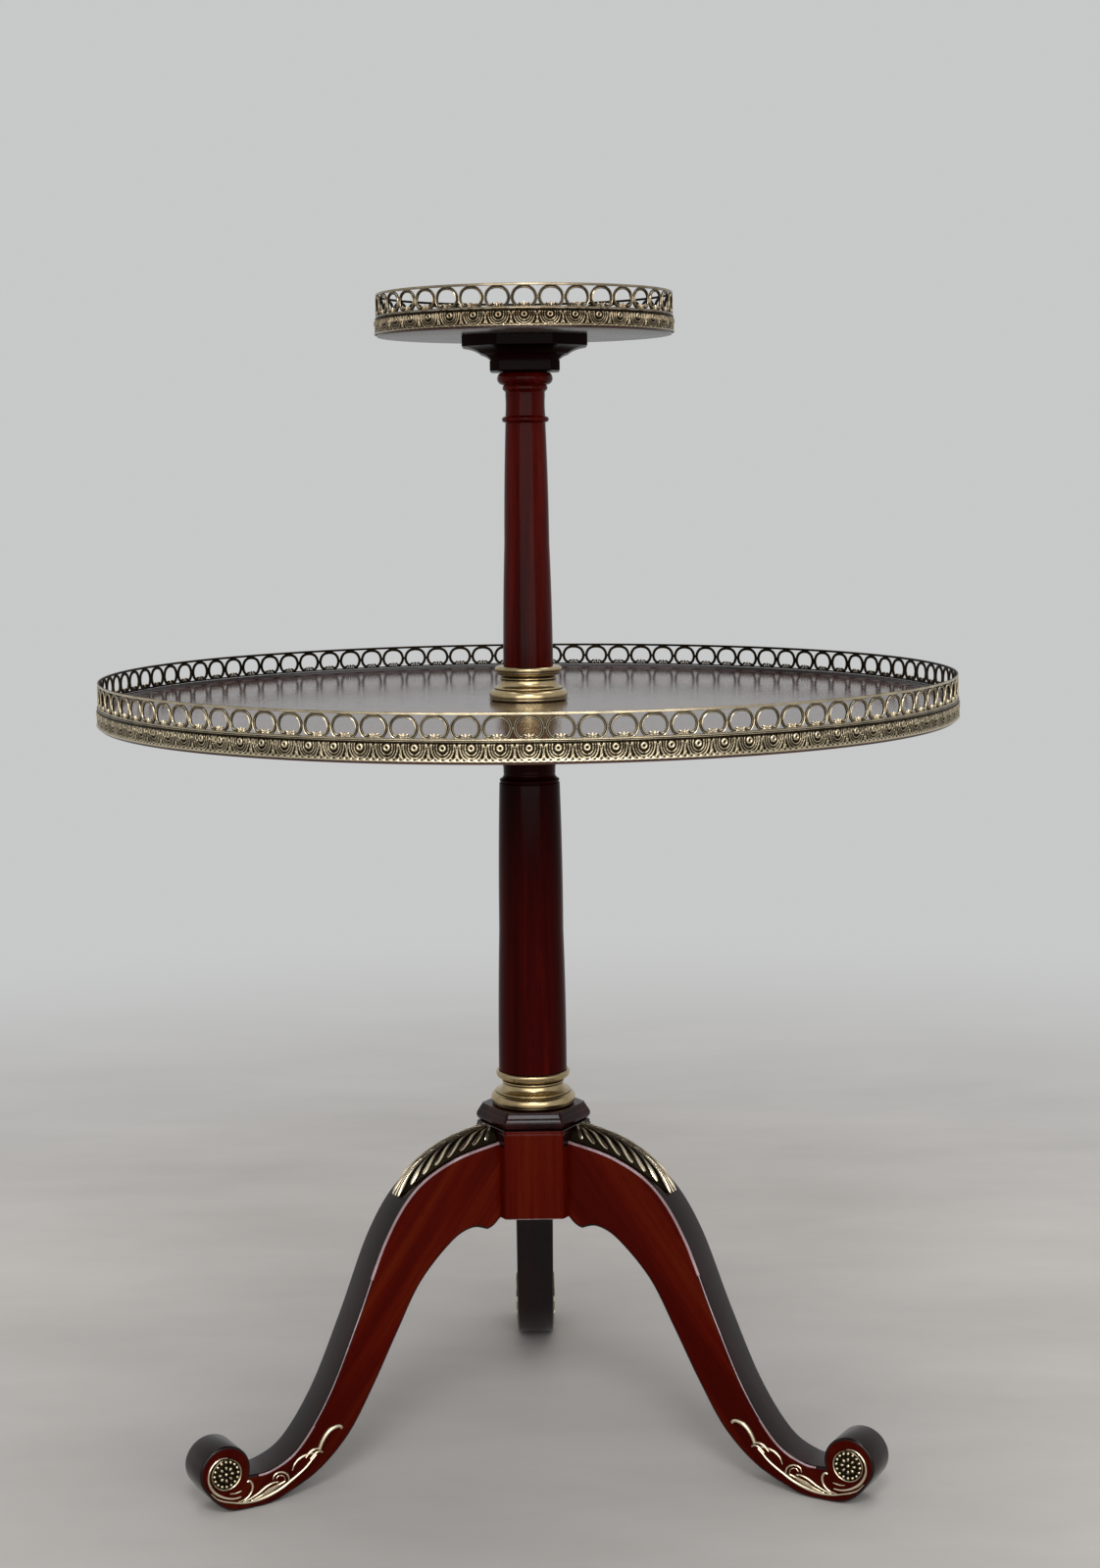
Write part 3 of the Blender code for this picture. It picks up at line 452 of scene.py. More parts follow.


# Each row: dark, middle and light tone, gloss, sheen, and where painted shade darkens it.
WOODS = {
    # Painted shade: the legs darken towards the floor.
    "leg mahogany": ((0.038, 0.0013, 0.0003), (0.058, 0.0024, 0.0005), (0.080, 0.0068, 0.0012),
                     (0.12, 0.20), 0.035, (0.02, 0.13, 0.62)),
    # Painted shade: the almost black wood of the leg edges, the lips and the hub under the plinth.
    "edge mahogany, painted shade": ((0.004, 0.0010, 0.0010), (0.008, 0.0020, 0.0018), (0.014, 0.0034, 0.0030),
                      (0.14, 0.22), 0.24),
    # Painted highlight: the pale wood of the arrises.
    "painted arris highlight": ((0.130, 0.070, 0.072), (0.270, 0.180, 0.190), (0.400, 0.310, 0.335),
                     (0.20, 0.30), 0.4),
    # Painted shade: both columns darken where they meet the large tray.
    "column mahogany": ((0.017, 0.0005, 0.0002), (0.035, 0.0009, 0.0005),
                        (0.077, 0.0042, 0.0021), (0.10, 0.18), 0.035, (0.635, 0.500, 0.32)),
    "upper column mahogany": ((0.018, 0.0006, 0.0003), (0.038, 0.0013, 0.0007),
                              (0.083, 0.0052, 0.0027), (0.10, 0.18), 0.055, (0.72, 0.84, 0.62)),
    "ring mahogany": ((0.006, 0.0010, 0.0010), (0.014, 0.0022, 0.0018), (0.028, 0.0042, 0.0030),
                      (0.08, 0.14), 0.12),
    "board mahogany": ((0.018, 0.0050, 0.0034), (0.036, 0.0110, 0.0074),
                       (0.062, 0.0230, 0.0150), (0.10, 0.17), 0.5),
    # Painted shade: the corbel under the small tray is almost black.
    "corbel mahogany": ((0.0024, 0.0005, 0.0004), (0.0052, 0.0009, 0.0007),
                        (0.0082, 0.0014, 0.0011), (0.25, 0.40), 0.035),
    "plain underside": ((0.048, 0.038, 0.033), (0.085, 0.071, 0.063), (0.125, 0.108, 0.096),
                        (0.22, 0.32), 0.2),
}
(leg_wood, edge_shade_wood, arris_highlight_wood, column_wood, upper_wood, ring_wood, board_wood, corbel_wood,
 bare_wood) = (mahogany(name, *recipe) for name, recipe in WOODS.items())
print("woods:", list(WOODS))

# %% [markdown]
# ## Brass
#
# The castings were gilt long ago. Their high places are worn to a pale cream gold and
# their hollows hold an olive-brown patina, marked by a value that every point carries. On
# the gallery wires, rails and palmettes that value also paints shade on the sides turned
# away from the light. Colour and roughness both follow it, broken up by noise. A painted
# texture would need an unwrapped surface, and the value is known for every point from its
# form. The mounts on the legs are the brightest, and the rims of the small tray are
# darkened further as painted shade.

# %% Gilt castings
def new_metal(name):
    """A new material that is metal all over."""
    material, tree, shader = new_material(name)
    shader.inputs["Metallic"].default_value = 1.0
    return material, tree, shader


def gilt(name, bright, patina):
    """Cast brass, pale where it is worn, olive in its hollows, and dark where shade is painted."""
    material, tree, shader = new_metal(name)
    place = own_place(tree)
    clouds = stretched_noise(tree, place, (70, 70, 70), 3.0)
    grit = stretched_noise(tree, place, (900, 900, 900), 2.0)
    age_and_shade = sum_of(tree, point_value(tree, "recess", "Fac"), clouds, 0.55)
    half_way = tuple(0.38 * b + 0.62 * p for b, p in zip(bright, patina))
    dress(tree, shader,
          Base_Color=ramp(tree, age_and_shade, ((0.32, bright), (0.64, half_way), (0.95, patina))),
          Roughness=ramp(tree, age_and_shade, ((0.3, 0.20), (1.0, 0.50))),
          Normal=bump(tree, grit, 0.18, 0.0003))
    return material


mount_gilt = gilt("gilt mounts", (0.76, 0.65, 0.47), (0.012, 0.009, 0.005))
rim_gilt = gilt("gilt rims", (0.65, 0.55, 0.375), (0.014, 0.010, 0.005))
# Painted shade: the small tray's rims get a darker gilt.
shaded_gilt = gilt("gilt rims above, painted shade", (0.405, 0.325, 0.215), (0.014, 0.010, 0.005))
print("castings:", [metal.name for metal in (mount_gilt, rim_gilt, shaded_gilt)])

# %% [markdown]
# The two collars were turned and kept polished: they have fine rings round the axis, light
# tarnish, and grooves that have gone dark. The hidden rod, nut and washer are plain steel
# and the insert is brass. These four keep their solids from the frame, whose slots are
# given the metal.

# %% Turned brass and steel
def collar_brass():
    """Turned brass with fine rings round the axis, a little tarnish and dark grooves."""
    material, tree, shader = new_metal("turned brass")
    place = own_place(tree)
    rings = stretched_noise(tree, place, (6, 6, 2600), 2.0)
    tarnish = stretched_noise(tree, place, (28, 28, 60), 4.0, 0.6)
    colour = ramp(tree, tarnish, ((0.38, (0.54, 0.42, 0.235)), (0.62, (0.35, 0.265, 0.14)),
                                  (0.8, (0.17, 0.12, 0.06))))
    groove = (0.020, 0.013, 0.007)
    dress(tree, shader,
          Base_Color=blend(tree, point_value(tree, "recess", "Fac"), colour, groove),
          Roughness=ramp(tree, tarnish, ((0.3, 0.20), (0.8, 0.34))),
          Normal=bump(tree, rings, 0.10, 0.0002))
    return material


def rod_steel():
    """Drawn steel, lightly mottled."""
    material, tree, shader = new_metal("rod steel")
    mottle = stretched_noise(tree, own_place(tree), (160, 160, 40), 3.0)
    dress(tree, shader,
          Base_Color=ramp(tree, mottle, ((0.3, (0.50, 0.51, 0.53)), (0.7, (0.30, 0.30, 0.31)))),
          Roughness=ramp(tree, mottle, ((0.3, 0.3), (0.7, 0.5))))
    return material


turned_brass, plain_steel = collar_brass(), rod_steel()
for node_name, metal in (("tie_rod", plain_steel), ("rod_nut", plain_steel),
                         ("rod_washer", plain_steel), ("rod_insert", turned_brass)):
    for node_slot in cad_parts[node_name].material_slots:
        node_slot.material = metal
print("turned and drawn:", turned_brass.name, "and", plain_steel.name)

# %% [markdown]
# ## Hub and plinth
#
# The hub is a hexagonal block that the legs are dovetailed into, and the plinth is a
# hexagonal moulding on top of it. Both are a profile carried round a hexagon whose six
# corners are slightly rounded, just as a turner's profile is carried round a circle. The
# holes on the axis stay round.
#
# Some faces get a second material: plain wood, a dark wood that paints shade, or a pale
# wood that paints a highlight along an arris. They are picked by where their centres lie.

# %% Faces and holes
def along_z(shift):
    """Timber standing upright: the grain runs along Z."""
    return lambda points: points + np.array(shift)


def second_wood(piece, material, chosen):
    """Another finish on the faces whose entry in chosen is true."""
    index = np.zeros(len(chosen), np.int32)
    piece.data.polygons.foreach_get("material_index", index)
    index[chosen] = len(piece.data.materials)
    piece.data.materials.append(material)
    piece.data.polygons.foreach_set("material_index", index)
    piece.data.update()
    print(piece.name, "has", int(chosen.sum()), "faces in", material.name)


def face_centres(piece):
    """Centre of every face, as one row each."""
    centres = np.zeros(len(piece.data.polygons) * 3)
    piece.data.polygons.foreach_get("center", centres)
    return centres.reshape(-1, 3)


# Radii of the column's tenons, of the bores round them, and of the hole for the rod.
TENON, BORE, ROD_HOLE = 0.0120, 0.0123, 0.0055
hexagon = eased(circle(6), 0.035, 7)
print("the hexagon has", len(hexagon), "points")

# %% Hub
# Radii and heights in millimetres, from the hub's lower edge up.
hub_low = heights("hub")[0]
hub_profile = eased([(52.1, 0), (53.0, 0.9), (53.0, 66.0), (53.0, 78.4), (52.0, 79.6),
                     (52.4, 80.6), (51.6, 81.9), (50.6, 82.2)], 0.7, 4, False) * MM
mortise_floor, counterbore = 0.0722, 0.0200
hub_hole = np.array([(BORE, 0.0822), (BORE, mortise_floor), (ROD_HOLE, mortise_floor),
                     (ROD_HOLE, counterbore), (0.0140, counterbore), (0.0140, 0.0)])
hub_form = turned(np.vstack([hub_profile, hub_hole]) + [0, hub_low], hexagon, True,
                  len(hub_profile))
hub_block = make_piece("hub_block", hub_form, leg_wood, ["hub"],
                       along_z((0.3, 0.1, 0.0)))
hub_x, hub_y, hub_z = face_centres(hub_block).T - [[0], [0], [hub_low]]
# Painted shade: the top is dark, and so is a band above 67 mm on the faces beside the front one.
shade_beside_front = (hub_z > 0.067) & (np.abs(hub_x) > 0.0265)
second_wood(hub_block, edge_shade_wood, (hub_z > 0.0815) | shade_beside_front)
# Painted highlight: the bevel along the hub's lower edge is pale.
lower_bevel = (hub_z > 0.0001) & (hub_z < 0.0009)
second_wood(hub_block, arris_highlight_wood, lower_bevel & (np.hypot(hub_x, hub_y) > 0.040))

# %% Plinth
# Again radii and heights in millimetres.
plinth_low = heights("plinth")[0]
plinth_profile = eased(moulding((
    (48.4, 0.0, 0), (52.2, 3.2, 0.14), (52.7, 4.2, 0.1), (52.7, 6.4, 0), (51.1, 9.3, 0),
    (50.8, 9.4, 0), (50.8, 10.3, 0), (50.1, 10.5, 0), (48.3, 13.8, 0), (47.6, 14.0, 0),
    (47.4, 15.5, 0)), steps=5), 0.3, 4, False) * MM
plinth_hole = np.array([(BORE, 0.0155), (BORE, 0.0)])
plinth_form = turned(np.vstack([plinth_profile, plinth_hole]) + [0, plinth_low], hexagon, True,
                     len(plinth_profile))
make_piece("plinth_moulding", plinth_form, ring_wood, ["plinth"],
           along_z((0.1, 0.4, 0.2)))

# %% [markdown]
# ## Turned columns
#
# Everything round is turned from a profile of fillets, hollows and beads, read from the
# bottom up. The lower column swells into a plate under the tray; the upper one has an
# astragal and a torus at its neck. The tenons and the bore for the rod are part of each
# profile, so a column is one closed shape and needs no Boolean.

# %% Columns
column_low, column_high = heights("lower_column")
tray_low, tray_high = heights("main_tray")
shaft_foot = heights("lower_collar")[1] + GLUE_GAP
shaft_top = tray_low - GLUE_GAP
lower_shaft = moulding((
    (1.000, 0.000, 0), (0.941, 0.40, 0.004), (0.880, 0.816, 0.004), (0.858, 0.8172, 0),
    (0.858, 0.8195, 0), (0.850, 0.8200, 0), (0.850, 0.8275, 0.25), (0.757, 0.845, -0.20),
    (0.820, 0.885, -0.05), (1.350, 0.9661, -0.20)), 0.0312, shaft_top - shaft_foot, shaft_foot, 12)
plate = moulding(((46.6, -11.0, 0), (48.0, -9.6, 0.3), (48.0, -1.4, 0), (46.8, 0.0, 0.3)),
                 MM, MM, shaft_top, 5)
# Up the upper tenon, down the bore for the rod, and up the lower tenon.
tenon = np.array([(TENON, shaft_top), (TENON, column_high), (ROD_HOLE, column_high),
                  (ROD_HOLE, column_low), (TENON, column_low), (TENON, shaft_foot)])
lower_edge = eased(np.vstack([lower_shaft[:-1], plate]), 0.0005, 3, False)
make_piece("lower_shaft", turned(np.vstack([lower_edge, tenon])), column_wood,
           ["lower_column"], along_z((0.5, 0.2, 0.1)))

upper_low, upper_high = heights("upper_column")
upper_foot = heights("upper_collar")[1] + GLUE_GAP
upper_top = heights("corbel_block")[0] - GLUE_GAP
upper_shaft = moulding((
    (1.000, 0.000, 0), (0.900, 0.42, 0.004), (0.795, 0.829, 0.004), (0.835, 0.8305, 0),
    (0.835, 0.8505, 0.42), (0.795, 0.852, 0), (0.787, 0.925, -0.02), (0.850, 0.938, -0.2),
    (0.888, 0.942, 0), (0.888, 0.951, 0), (0.845, 0.956, 0), (0.888, 1.000, 0.46)),
    0.0225, upper_top - upper_foot, upper_foot, 12)
INSERT_HOLE, NECK_TENON, NECK_HOLE = 0.0087, 0.0110, 0.0113
# The blind hole ends 2 mm above the rod and is wider below, round the threaded insert.
insert_top = heights("rod_insert")[1] + GLUE_GAP
rod_end = heights("tie_rod")[1] + 0.002
pocket = np.array([(ROD_HOLE, rod_end), (ROD_HOLE, insert_top), (INSERT_HOLE, insert_top),
                   (INSERT_HOLE, upper_low), (TENON, upper_low), (TENON, upper_foot)])
neck_tenon = np.array([(NECK_TENON, upper_top), (NECK_TENON, upper_high)])
upper_profile = np.vstack([pocket, eased(upper_shaft, 0.0004, 3, False), neck_tenon])
make_piece("upper_shaft", turned(upper_profile, None, False), upper_wood,
           ["upper_column"], along_z((0.15, 0.65, 0.7)))

# %% [markdown]
# ## Collars
#
# The collars are brass rings with a roll, a hollow and a flared lip. Their grooves are
# found by laying a short bridge over every point of the profile: where the point lies well
# inside the bridge, polish never reaches it. The profile is first divided evenly, so that
# a groove is dark all over and not only at its corners.

# %% Collars
def hollowness(profile, reach):
    """How far each point lies inside the bridge between the points reach before and after."""
    run = np.concatenate([[0], np.cumsum(np.linalg.norm(np.diff(profile, axis=0), axis=1))])
    behind, ahead = (np.stack([np.interp(run + step, run, column) for column in profile.T], axis=1)
                     for step in (-reach, reach))
    slope = (ahead - behind) / np.linalg.norm(ahead - behind, axis=1, keepdims=True)
    gap = (ahead + behind) / 2 - profile
    return gap[:, 0] * slope[:, 1] - gap[:, 1] * slope[:, 0]


def collar(name, node, radius, corners):
    """Turned ring between its node's floor and top, bored for the tenon, dark in its grooves.

    A groove goes from bright to dark as its hollowness goes from 0.12 to 0.22 mm.
    """
    low, high = heights(node)
    outside = evenly(eased(moulding(corners, radius, high - low, low, 9), 0.00025, 3, False), 150)
    bore = np.array([(BORE, high), (BORE, low)])
    shape = turned(np.vstack([outside, bore]))
    grooves = np.clip((hollowness(outside, 1.0 * MM) - 0.12 * MM) / (0.10 * MM), 0, 1)
    shape["values"] = {"recess": np.repeat(np.concatenate([grooves, [0, 0]]), ROUND)}
    make_piece(name, shape, turned_brass, [node])


collar("lower_collar_ring", "lower_collar", 0.0384, (
    (0.945, 0.000, 0), (0.985, 0.070, 0.20), (0.900, 0.350, 0.24), (0.884, 0.356, 0),
    (0.884, 0.405, 0.30), (0.870, 0.412, 0), (0.722, 0.640, -0.20), (0.734, 0.650, 0),
    (0.734, 0.700, 0.40), (0.704, 0.706, 0), (0.704, 0.736, 0), (0.800, 0.775, 0.06),
    (0.866, 0.870, 0.16), (0.846, 1.000, 0.22)))
collar("upper_collar_ring", "upper_collar", 0.0350, (
    (0.955, 0.000, 0), (0.996, 0.085, 0.20), (0.887, 0.335, 0.22), (0.872, 0.341, 0),
    (0.872, 0.392, 0.30), (0.858, 0.400, 0), (0.714, 0.625, -0.20), (0.728, 0.635, 0),
    (0.728, 0.685, 0.40), (0.694, 0.692, 0), (0.694, 0.725, 0), (0.790, 0.765, 0.06),
    (0.843, 0.862, 0.18), (0.818, 1.000, 0.24)))

# %% [markdown]
# ## Corbel block
#
# Under the small tray sits a square block with its corners cut off. It starts narrow on
# the column and sweeps out in a hollow to a thin slab. Each level is an eight-cornered
# ring whose half width and corner cut follow the sweep, so the block is a skin over such
# rings. Its wood is painted almost black as the shade under the tray.

# %% Corbel
def canted(half_width, flat, size):
    """Square of a half width whose corners are cut so that each side's flat stays, eased."""
    quarter = np.array([(half_width, -flat), (half_width, flat)])
    turns = np.array([[[1, 0], [0, 1]], [[0, 1], [-1, 0]], [[-1, 0], [0, -1]], [[0, -1], [1, 0]]])
    return eased(np.einsum("nj,kji->kni", quarter, turns).reshape(-1, 2), size, 4)


corbel_low, corbel_high = heights("corbel_block")
sweep = moulding((
    (0.535, 0.00, 0), (0.558, 0.03, 0.2), (0.558, 0.28, 0), (0.543, 0.295, 0), (0.543, 0.31, 0),
    (0.700, 0.50, -0.10), (0.985, 0.700, -0.10), (1.000, 0.720, 0.2), (1.000, 0.985, 0),
    (0.990, 1.0, 0.2)), steps=7)
CORBEL_HALF, CORBEL_FLAT = 0.0552, 0.0247
levels = np.stack([
    np.pad(canted(CORBEL_HALF * r, CORBEL_FLAT * (0.83 + 0.17 * min(1.0, r)), 0.0012),
           ((0, 0), (0, 1)), constant_values=corbel_low + z * (corbel_high - corbel_low))
    for r, z in sweep])
# The hole for the neck's tenon: the last ring and the first one, drawn in to a circle.
hole = levels[[-1, 0]].copy()
hole[:, :, :2] *= NECK_HOLE / np.linalg.norm(hole[:, :, :2], axis=2, keepdims=True)
make_piece("corbel", skin(np.concatenate([levels, hole]), True), corbel_wood,
           ["corbel_block"], lambda points: points[:, [1, 2, 0]] + 0.3)

# %% [markdown]
# ## Tray boards
#
# Each tray is one round board. Its edge carries a low lip with a hollow inside it, where
# the gallery stands. The board's grain runs from left to right, so its timber value is its
# position with X as the long direction. The lip is painted as dark as a sawn edge, as shade.

# %% Trays
def board(points):
    """Timber of a flat board whose grain runs along X."""
    return points[:, [1, 2, 0]] + np.array([0.2, 0.7, 0.1])


LIP_HEIGHT, LIP_TOP, LIP_FOOT = 0.0031, 0.0060, 0.0100


def lip(radius, low, high):
    """A board's edge: up the rim, over the lip and down an arc to the polished surface."""
    shoulder, floor_edge = (radius - LIP_TOP, high), (radius - LIP_FOOT, high - LIP_HEIGHT)
    return np.vstack([[(radius, low), (radius, high), shoulder],
                      arc(shoulder, floor_edge, -0.12, 6)])


TRAY_RADIUS, SMALL_RADIUS = 0.3816, 0.1304
SEAT_DEPTH, NECK_DEPTH = 0.0005, 0.0075
surface = tray_high - LIP_HEIGHT
seat_floor = surface - SEAT_DEPTH
# The points at 50 and 360 mm keep the long flat stretches flat when they are shaded.
large_edge = np.vstack([[(0.0500, tray_low)], lip(TRAY_RADIUS, tray_low, tray_high),
                        [(0.3600, surface), (0.0361, surface)]])
seat = np.array([(0.0360, seat_floor), (BORE, seat_floor), (BORE, tray_low)])
large_form = turned(np.vstack([eased(large_edge, 0.0005, 3, False), seat]), circle(288))
large_tray = make_piece("main_tray_board", large_form, board_wood, ["main_tray"],
                        board)

small_low, small_high = heights("upper_tray")
small_surface = small_high - LIP_HEIGHT
small_edge = np.vstack([[(NECK_HOLE, small_low + NECK_DEPTH), (NECK_HOLE, small_low)],
                        lip(SMALL_RADIUS, small_low, small_high),
                        [(0.1100, small_surface), (0.0050, small_surface)]])
small_form = turned(eased(small_edge, 0.0004, 3, False), circle(192), False)
small_tray = make_piece("upper_tray_board", small_form, board_wood, ["upper_tray"],
                        board)
second_wood(small_tray, bare_wood, np.abs(face_centres(small_tray)[:, 2] - small_low) < 0.0002)
# Painted shade: each lip is as dark as a sawn edge.
for tray, radius, level in ((large_tray, TRAY_RADIUS, surface),
                            (small_tray, SMALL_RADIUS, small_surface)):
    x, y, z = face_centres(tray).T
    on_lip = (np.hypot(x, y) > radius - LIP_FOOT - 0.0004) & (z > level + 0.0001)
    second_wood(tray, edge_shade_wood, on_lip)

# %% [markdown]
# ## Legs
#
# A leg is sawn from a plank, so it starts as one outline in the plane of the leg: the
# distance out from the axis, and the height. The outline has four stretches, which are the
# knee line, the scroll, the short pad it stands on, and the underside with its small ogee
# at the hub. Most points are shares of the leg's reach and of its knee's height.

# %% Leg outline
REACH, KNEE = 0.3210, 0.2905
HUB_FACE, LEG_FOOT = 0.0462, 0.2195
SCROLL_CENTRE, SCROLL_RADIUS = np.array([REACH, 0.0375]), 0.0233
CREASE, RELEASE = math.radians(198), math.radians(-38)


def shares(*pairs):
    """Points given as shares of the reach and of the knee's height."""
    return np.array(pairs) * [REACH, KNEE]


def scroll(turn):
    """Points of the scroll: centre + radius x (cos turn, sin turn)."""
    return SCROLL_CENTRE + SCROLL_RADIUS * np.stack([np.cos(turn), np.sin(turn)], axis=-1)


knee_line = flowing(np.vstack([[(HUB_FACE, KNEE)], shares(
    (0.290, 0.966), (0.414, 0.892), (0.508, 0.750), (0.601, 0.512), (0.692, 0.299),
    (0.785, 0.157), (0.866, 0.108)), scroll(np.array([CREASE]))]), 10)
scroll_arc = scroll(np.linspace(RELEASE, CREASE, 44))
toe = flowing(np.vstack([[(0.2960, 0.0), (0.3060, 0.0003)], shares(
    (0.982, 0.0058), (1.008, 0.0195), (1.034, 0.0455)), scroll_arc[:1]]), 5)
under_points = shares((0.184, 0.725), (0.234, 0.738), (0.300, 0.705), (0.399, 0.597),
                      (0.475, 0.453), (0.548, 0.306), (0.629, 0.165), (0.725, 0.069),
                      (0.830, 0.015))
heel = [(0.2760, 0.0014), (0.2815, 0.0004), (0.2870, 0.0)]
hub_end = (HUB_FACE, LEG_FOOT)
underside = np.vstack([[hub_end], arc(hub_end, under_points[0], 0.10, 6)[:-1],
                       flowing(np.vstack([under_points, heel]), 10)])
leg_outline = np.vstack([underside, toe[:-1], scroll_arc[:-1], knee_line[::-1]])
leg_outline[:, 1] = np.maximum(leg_outline[:, 1], 0)
print("leg outline has", len(leg_outline), "points")

# %% [markdown]
# The outline is carried across the plank's thickness, with the edges rounded over. A Bevel
# modifier could round them too, but rings moved inwards by a known distance keep every
# face in its row, and so the edges can be finished row by row. A last ring just inside the
# rounding keeps the flat sides flat when shaded. A dovetail tongue slides up into the hub.

# %% Plank
def inset(outline, distance):
    """A closed outline moved inwards, its two points on the hub's face kept on that face."""
    ahead = np.roll(outline, -1, 0) - outline
    ahead /= np.linalg.norm(ahead, axis=1, keepdims=True)
    behind = np.roll(ahead, 1, 0)
    inward = np.stack([-ahead[:, 1] - behind[:, 1], ahead[:, 0] + behind[:, 0]], axis=1)
    inward /= np.linalg.norm(inward, axis=1, keepdims=True)
    spread = np.maximum(-inward[:, 0] * ahead[:, 1] + inward[:, 1] * ahead[:, 0], 0.5)
    moved = outline + inward * distance / spread[:, None]
    moved[[0, -1], 0] = outline[[0, -1], 0]
    return moved


def plank(outline, half_thickness, radius):
    """The outline carried across a plank whose edges are quarter circles of a radius."""
    turn = np.linspace(0, np.pi / 2, 5)
    depth = np.concatenate([[radius * 1.3], radius * (1 - np.sin(turn))])
    across = np.concatenate([[half_thickness], half_thickness - radius * (1 - np.cos(turn))])
    depth, across = np.concatenate([depth, depth[::-1]]), np.concatenate([across, -across[::-1]])
    rings = np.stack([inset(outline, d) for d in depth])
    level = np.broadcast_to(across[:, None], rings.shape[:2])
    return skin(np.stack([rings[:, :, 0], level, rings[:, :, 1]], axis=-1), False)


HALF_PLANK, TONGUE_HEIGHT = 0.0180, 0.0600
leg_form = plank(leg_outline, HALF_PLANK, 0.0022)
tongue_plan = np.array([(0.0299, -0.0105), (0.0470, -0.0077), (0.0470, 0.0077), (0.0299, 0.0105)])
tongue = skin(np.stack([np.pad(tongue_plan, ((0, 0), (0, 1)), constant_values=level)
                        for level in (LEG_FOOT, LEG_FOOT + TONGUE_HEIGHT)]), False)
print("leg plank has", len(leg_form["points"]), "points")

# %% [markdown]
# The same plank serves three times, swung round the axis. Its timber is turned so that the
# grain runs along the leg, and shifted by the leg's number, because no two planks are cut
# from the same place in the tree.

# %% Legs
LEGS = {"left": math.radians(210), "right": math.radians(330), "rear": math.radians(90)}


def sawn(azimuth, number):
    """Timber of one leg: the grain falls from the knee to the foot, 62 along to 78 down."""
    cos, sin = math.cos(azimuth), math.sin(azimuth)

    def timber(points):
        out = points[:, 0] * cos + points[:, 1] * sin
        side = points[:, 1] * cos - points[:, 0] * sin
        up = points[:, 2]
        return np.stack([0.78 * out + 0.62 * up, side + number,
                         0.62 * out - 0.78 * up + 3 * number], axis=1)

    return timber


def finish_edges(leg):
    """The dark sawn edge, which is painted shade, and the painted highlight on its arrises.

    The skin runs in rows of faces from one flat side to the other: row 0 and row 10 lie on
    the sides, 1 to 4 and 6 to 9 on the roundings, and 5 on the edge. Along a row the places
    follow the outline, which ends with the knee line. A thin arris on the knee line is painted
    pale as a highlight, and a broader one on the upper knee and above the foot.
    """
    row, place = np.divmod(np.arange(len(leg.data.polygons)), len(leg_outline))
    second_wood(leg, edge_shade_wood, (row > 0) & (row < 10))
    on_top = place > len(leg_outline) - len(knee_line) + 4
    down_the_knee = (len(leg_outline) - place) / len(knee_line)
    highlighted_rows = (np.isin(row, (2, 8)) | (down_the_knee < 0.45) & np.isin(row, (1, 3, 7, 9))
              | (down_the_knee > 0.70) & np.isin(row, (1, 9)))
    second_wood(leg, arris_highlight_wood, on_top & highlighted_rows)


for number, (leg, azimuth) in enumerate(LEGS.items()):
    finish_edges(make_piece("leg_plank_" + leg, swung(together(leg_form, tongue), azimuth),
                            leg_wood, ["leg_" + leg], sawn(azimuth, number)))

# %% [markdown]
# ## Leaf mounts on the knees
#
# A cast saddle covers each knee like half a garland: a rounded body, and on each side eight
# long slender leaves that spring from the ridge, bend outwards and end in bright rounded
# tips close to the edge of the wood. One more pair closes the end. The body comes first:
# it is a height over the knee, which depends on the distance along it and across it.

# %% Saddle body
knee_run = np.concatenate([[0], np.cumsum(np.linalg.norm(np.diff(knee_line, axis=0), axis=1))])
knee_slope = np.gradient(knee_line, axis=0)
knee_slope /= np.linalg.norm(knee_slope, axis=1, keepdims=True)
MOUNT_RUN, MOUNT_HALF = 0.1060, 0.0142


def on_knee(along, across, above):
    """A place on the knee: the knee line's point at a run, moved up its normal and sideways."""
    out, up = (np.interp(along, knee_run, knee_line[:, k]) for k in (0, 1))
    slope_out, slope_up = (np.interp(along, knee_run, knee_slope[:, k]) for k in (0, 1))
    return np.stack([out - above * slope_up, across, up + above * slope_out], axis=-1)


def body_width(along):
    """Half width: full, then closing to a blunt tip as sqrt(1 - 0.93 share^5)."""
    return MOUNT_HALF * np.sqrt(1 - 0.93 * np.clip(along / MOUNT_RUN, 0, 1) ** 5)


def body_height(along, across):
    """Height: 0.8 mm + crown x (1 - |across / half width|^power).

    The crown is 0.8 + 9.6 (1 - share^2.6) mm, and the power falls from 5 at the hub to 2 at
    the tip, so the saddle starts boxy and ends round.
    """
    share = np.clip(along / MOUNT_RUN, 0, 1)
    crown = (0.8 + 9.6 * (1 - share ** 2.6)) * MM
    sides = np.abs(across / body_width(along)) ** (5 - 3 * share)
    return 0.8 * MM + crown * np.clip(1 - sides, 0, 1)


def on_body(along, across, above):
    """Places at a height above the saddle's body, and the body's upward direction there."""
    step = 0.2 * MM
    here = on_knee(along, across, body_height(along, across))
    ahead = on_knee(along + step, across, body_height(along + step, across)) - here
    aside = on_knee(along, across + step, body_height(along, across + step)) - here
    up = np.cross(ahead, aside)
    up *= (np.sign(up[..., 2]) / np.linalg.norm(up, axis=-1))[..., None]
    return here + up * above[..., None], up


along = np.linspace(0.0004, MOUNT_RUN, 48)[:, None]
across = np.linspace(-1, 1, 15)[None] * body_width(along)
body_top = on_knee(along, across, body_height(along, across))
body_floor = on_knee(along, across[:, [-1, 0]], np.full((48, 2), GLUE_GAP))
body_rings = np.concatenate([body_top, body_floor], axis=1)
saddle_body = skin(body_rings, False, recess=np.ones(body_rings[..., 0].size))
print("saddle body has", len(saddle_body["points"]), "points")

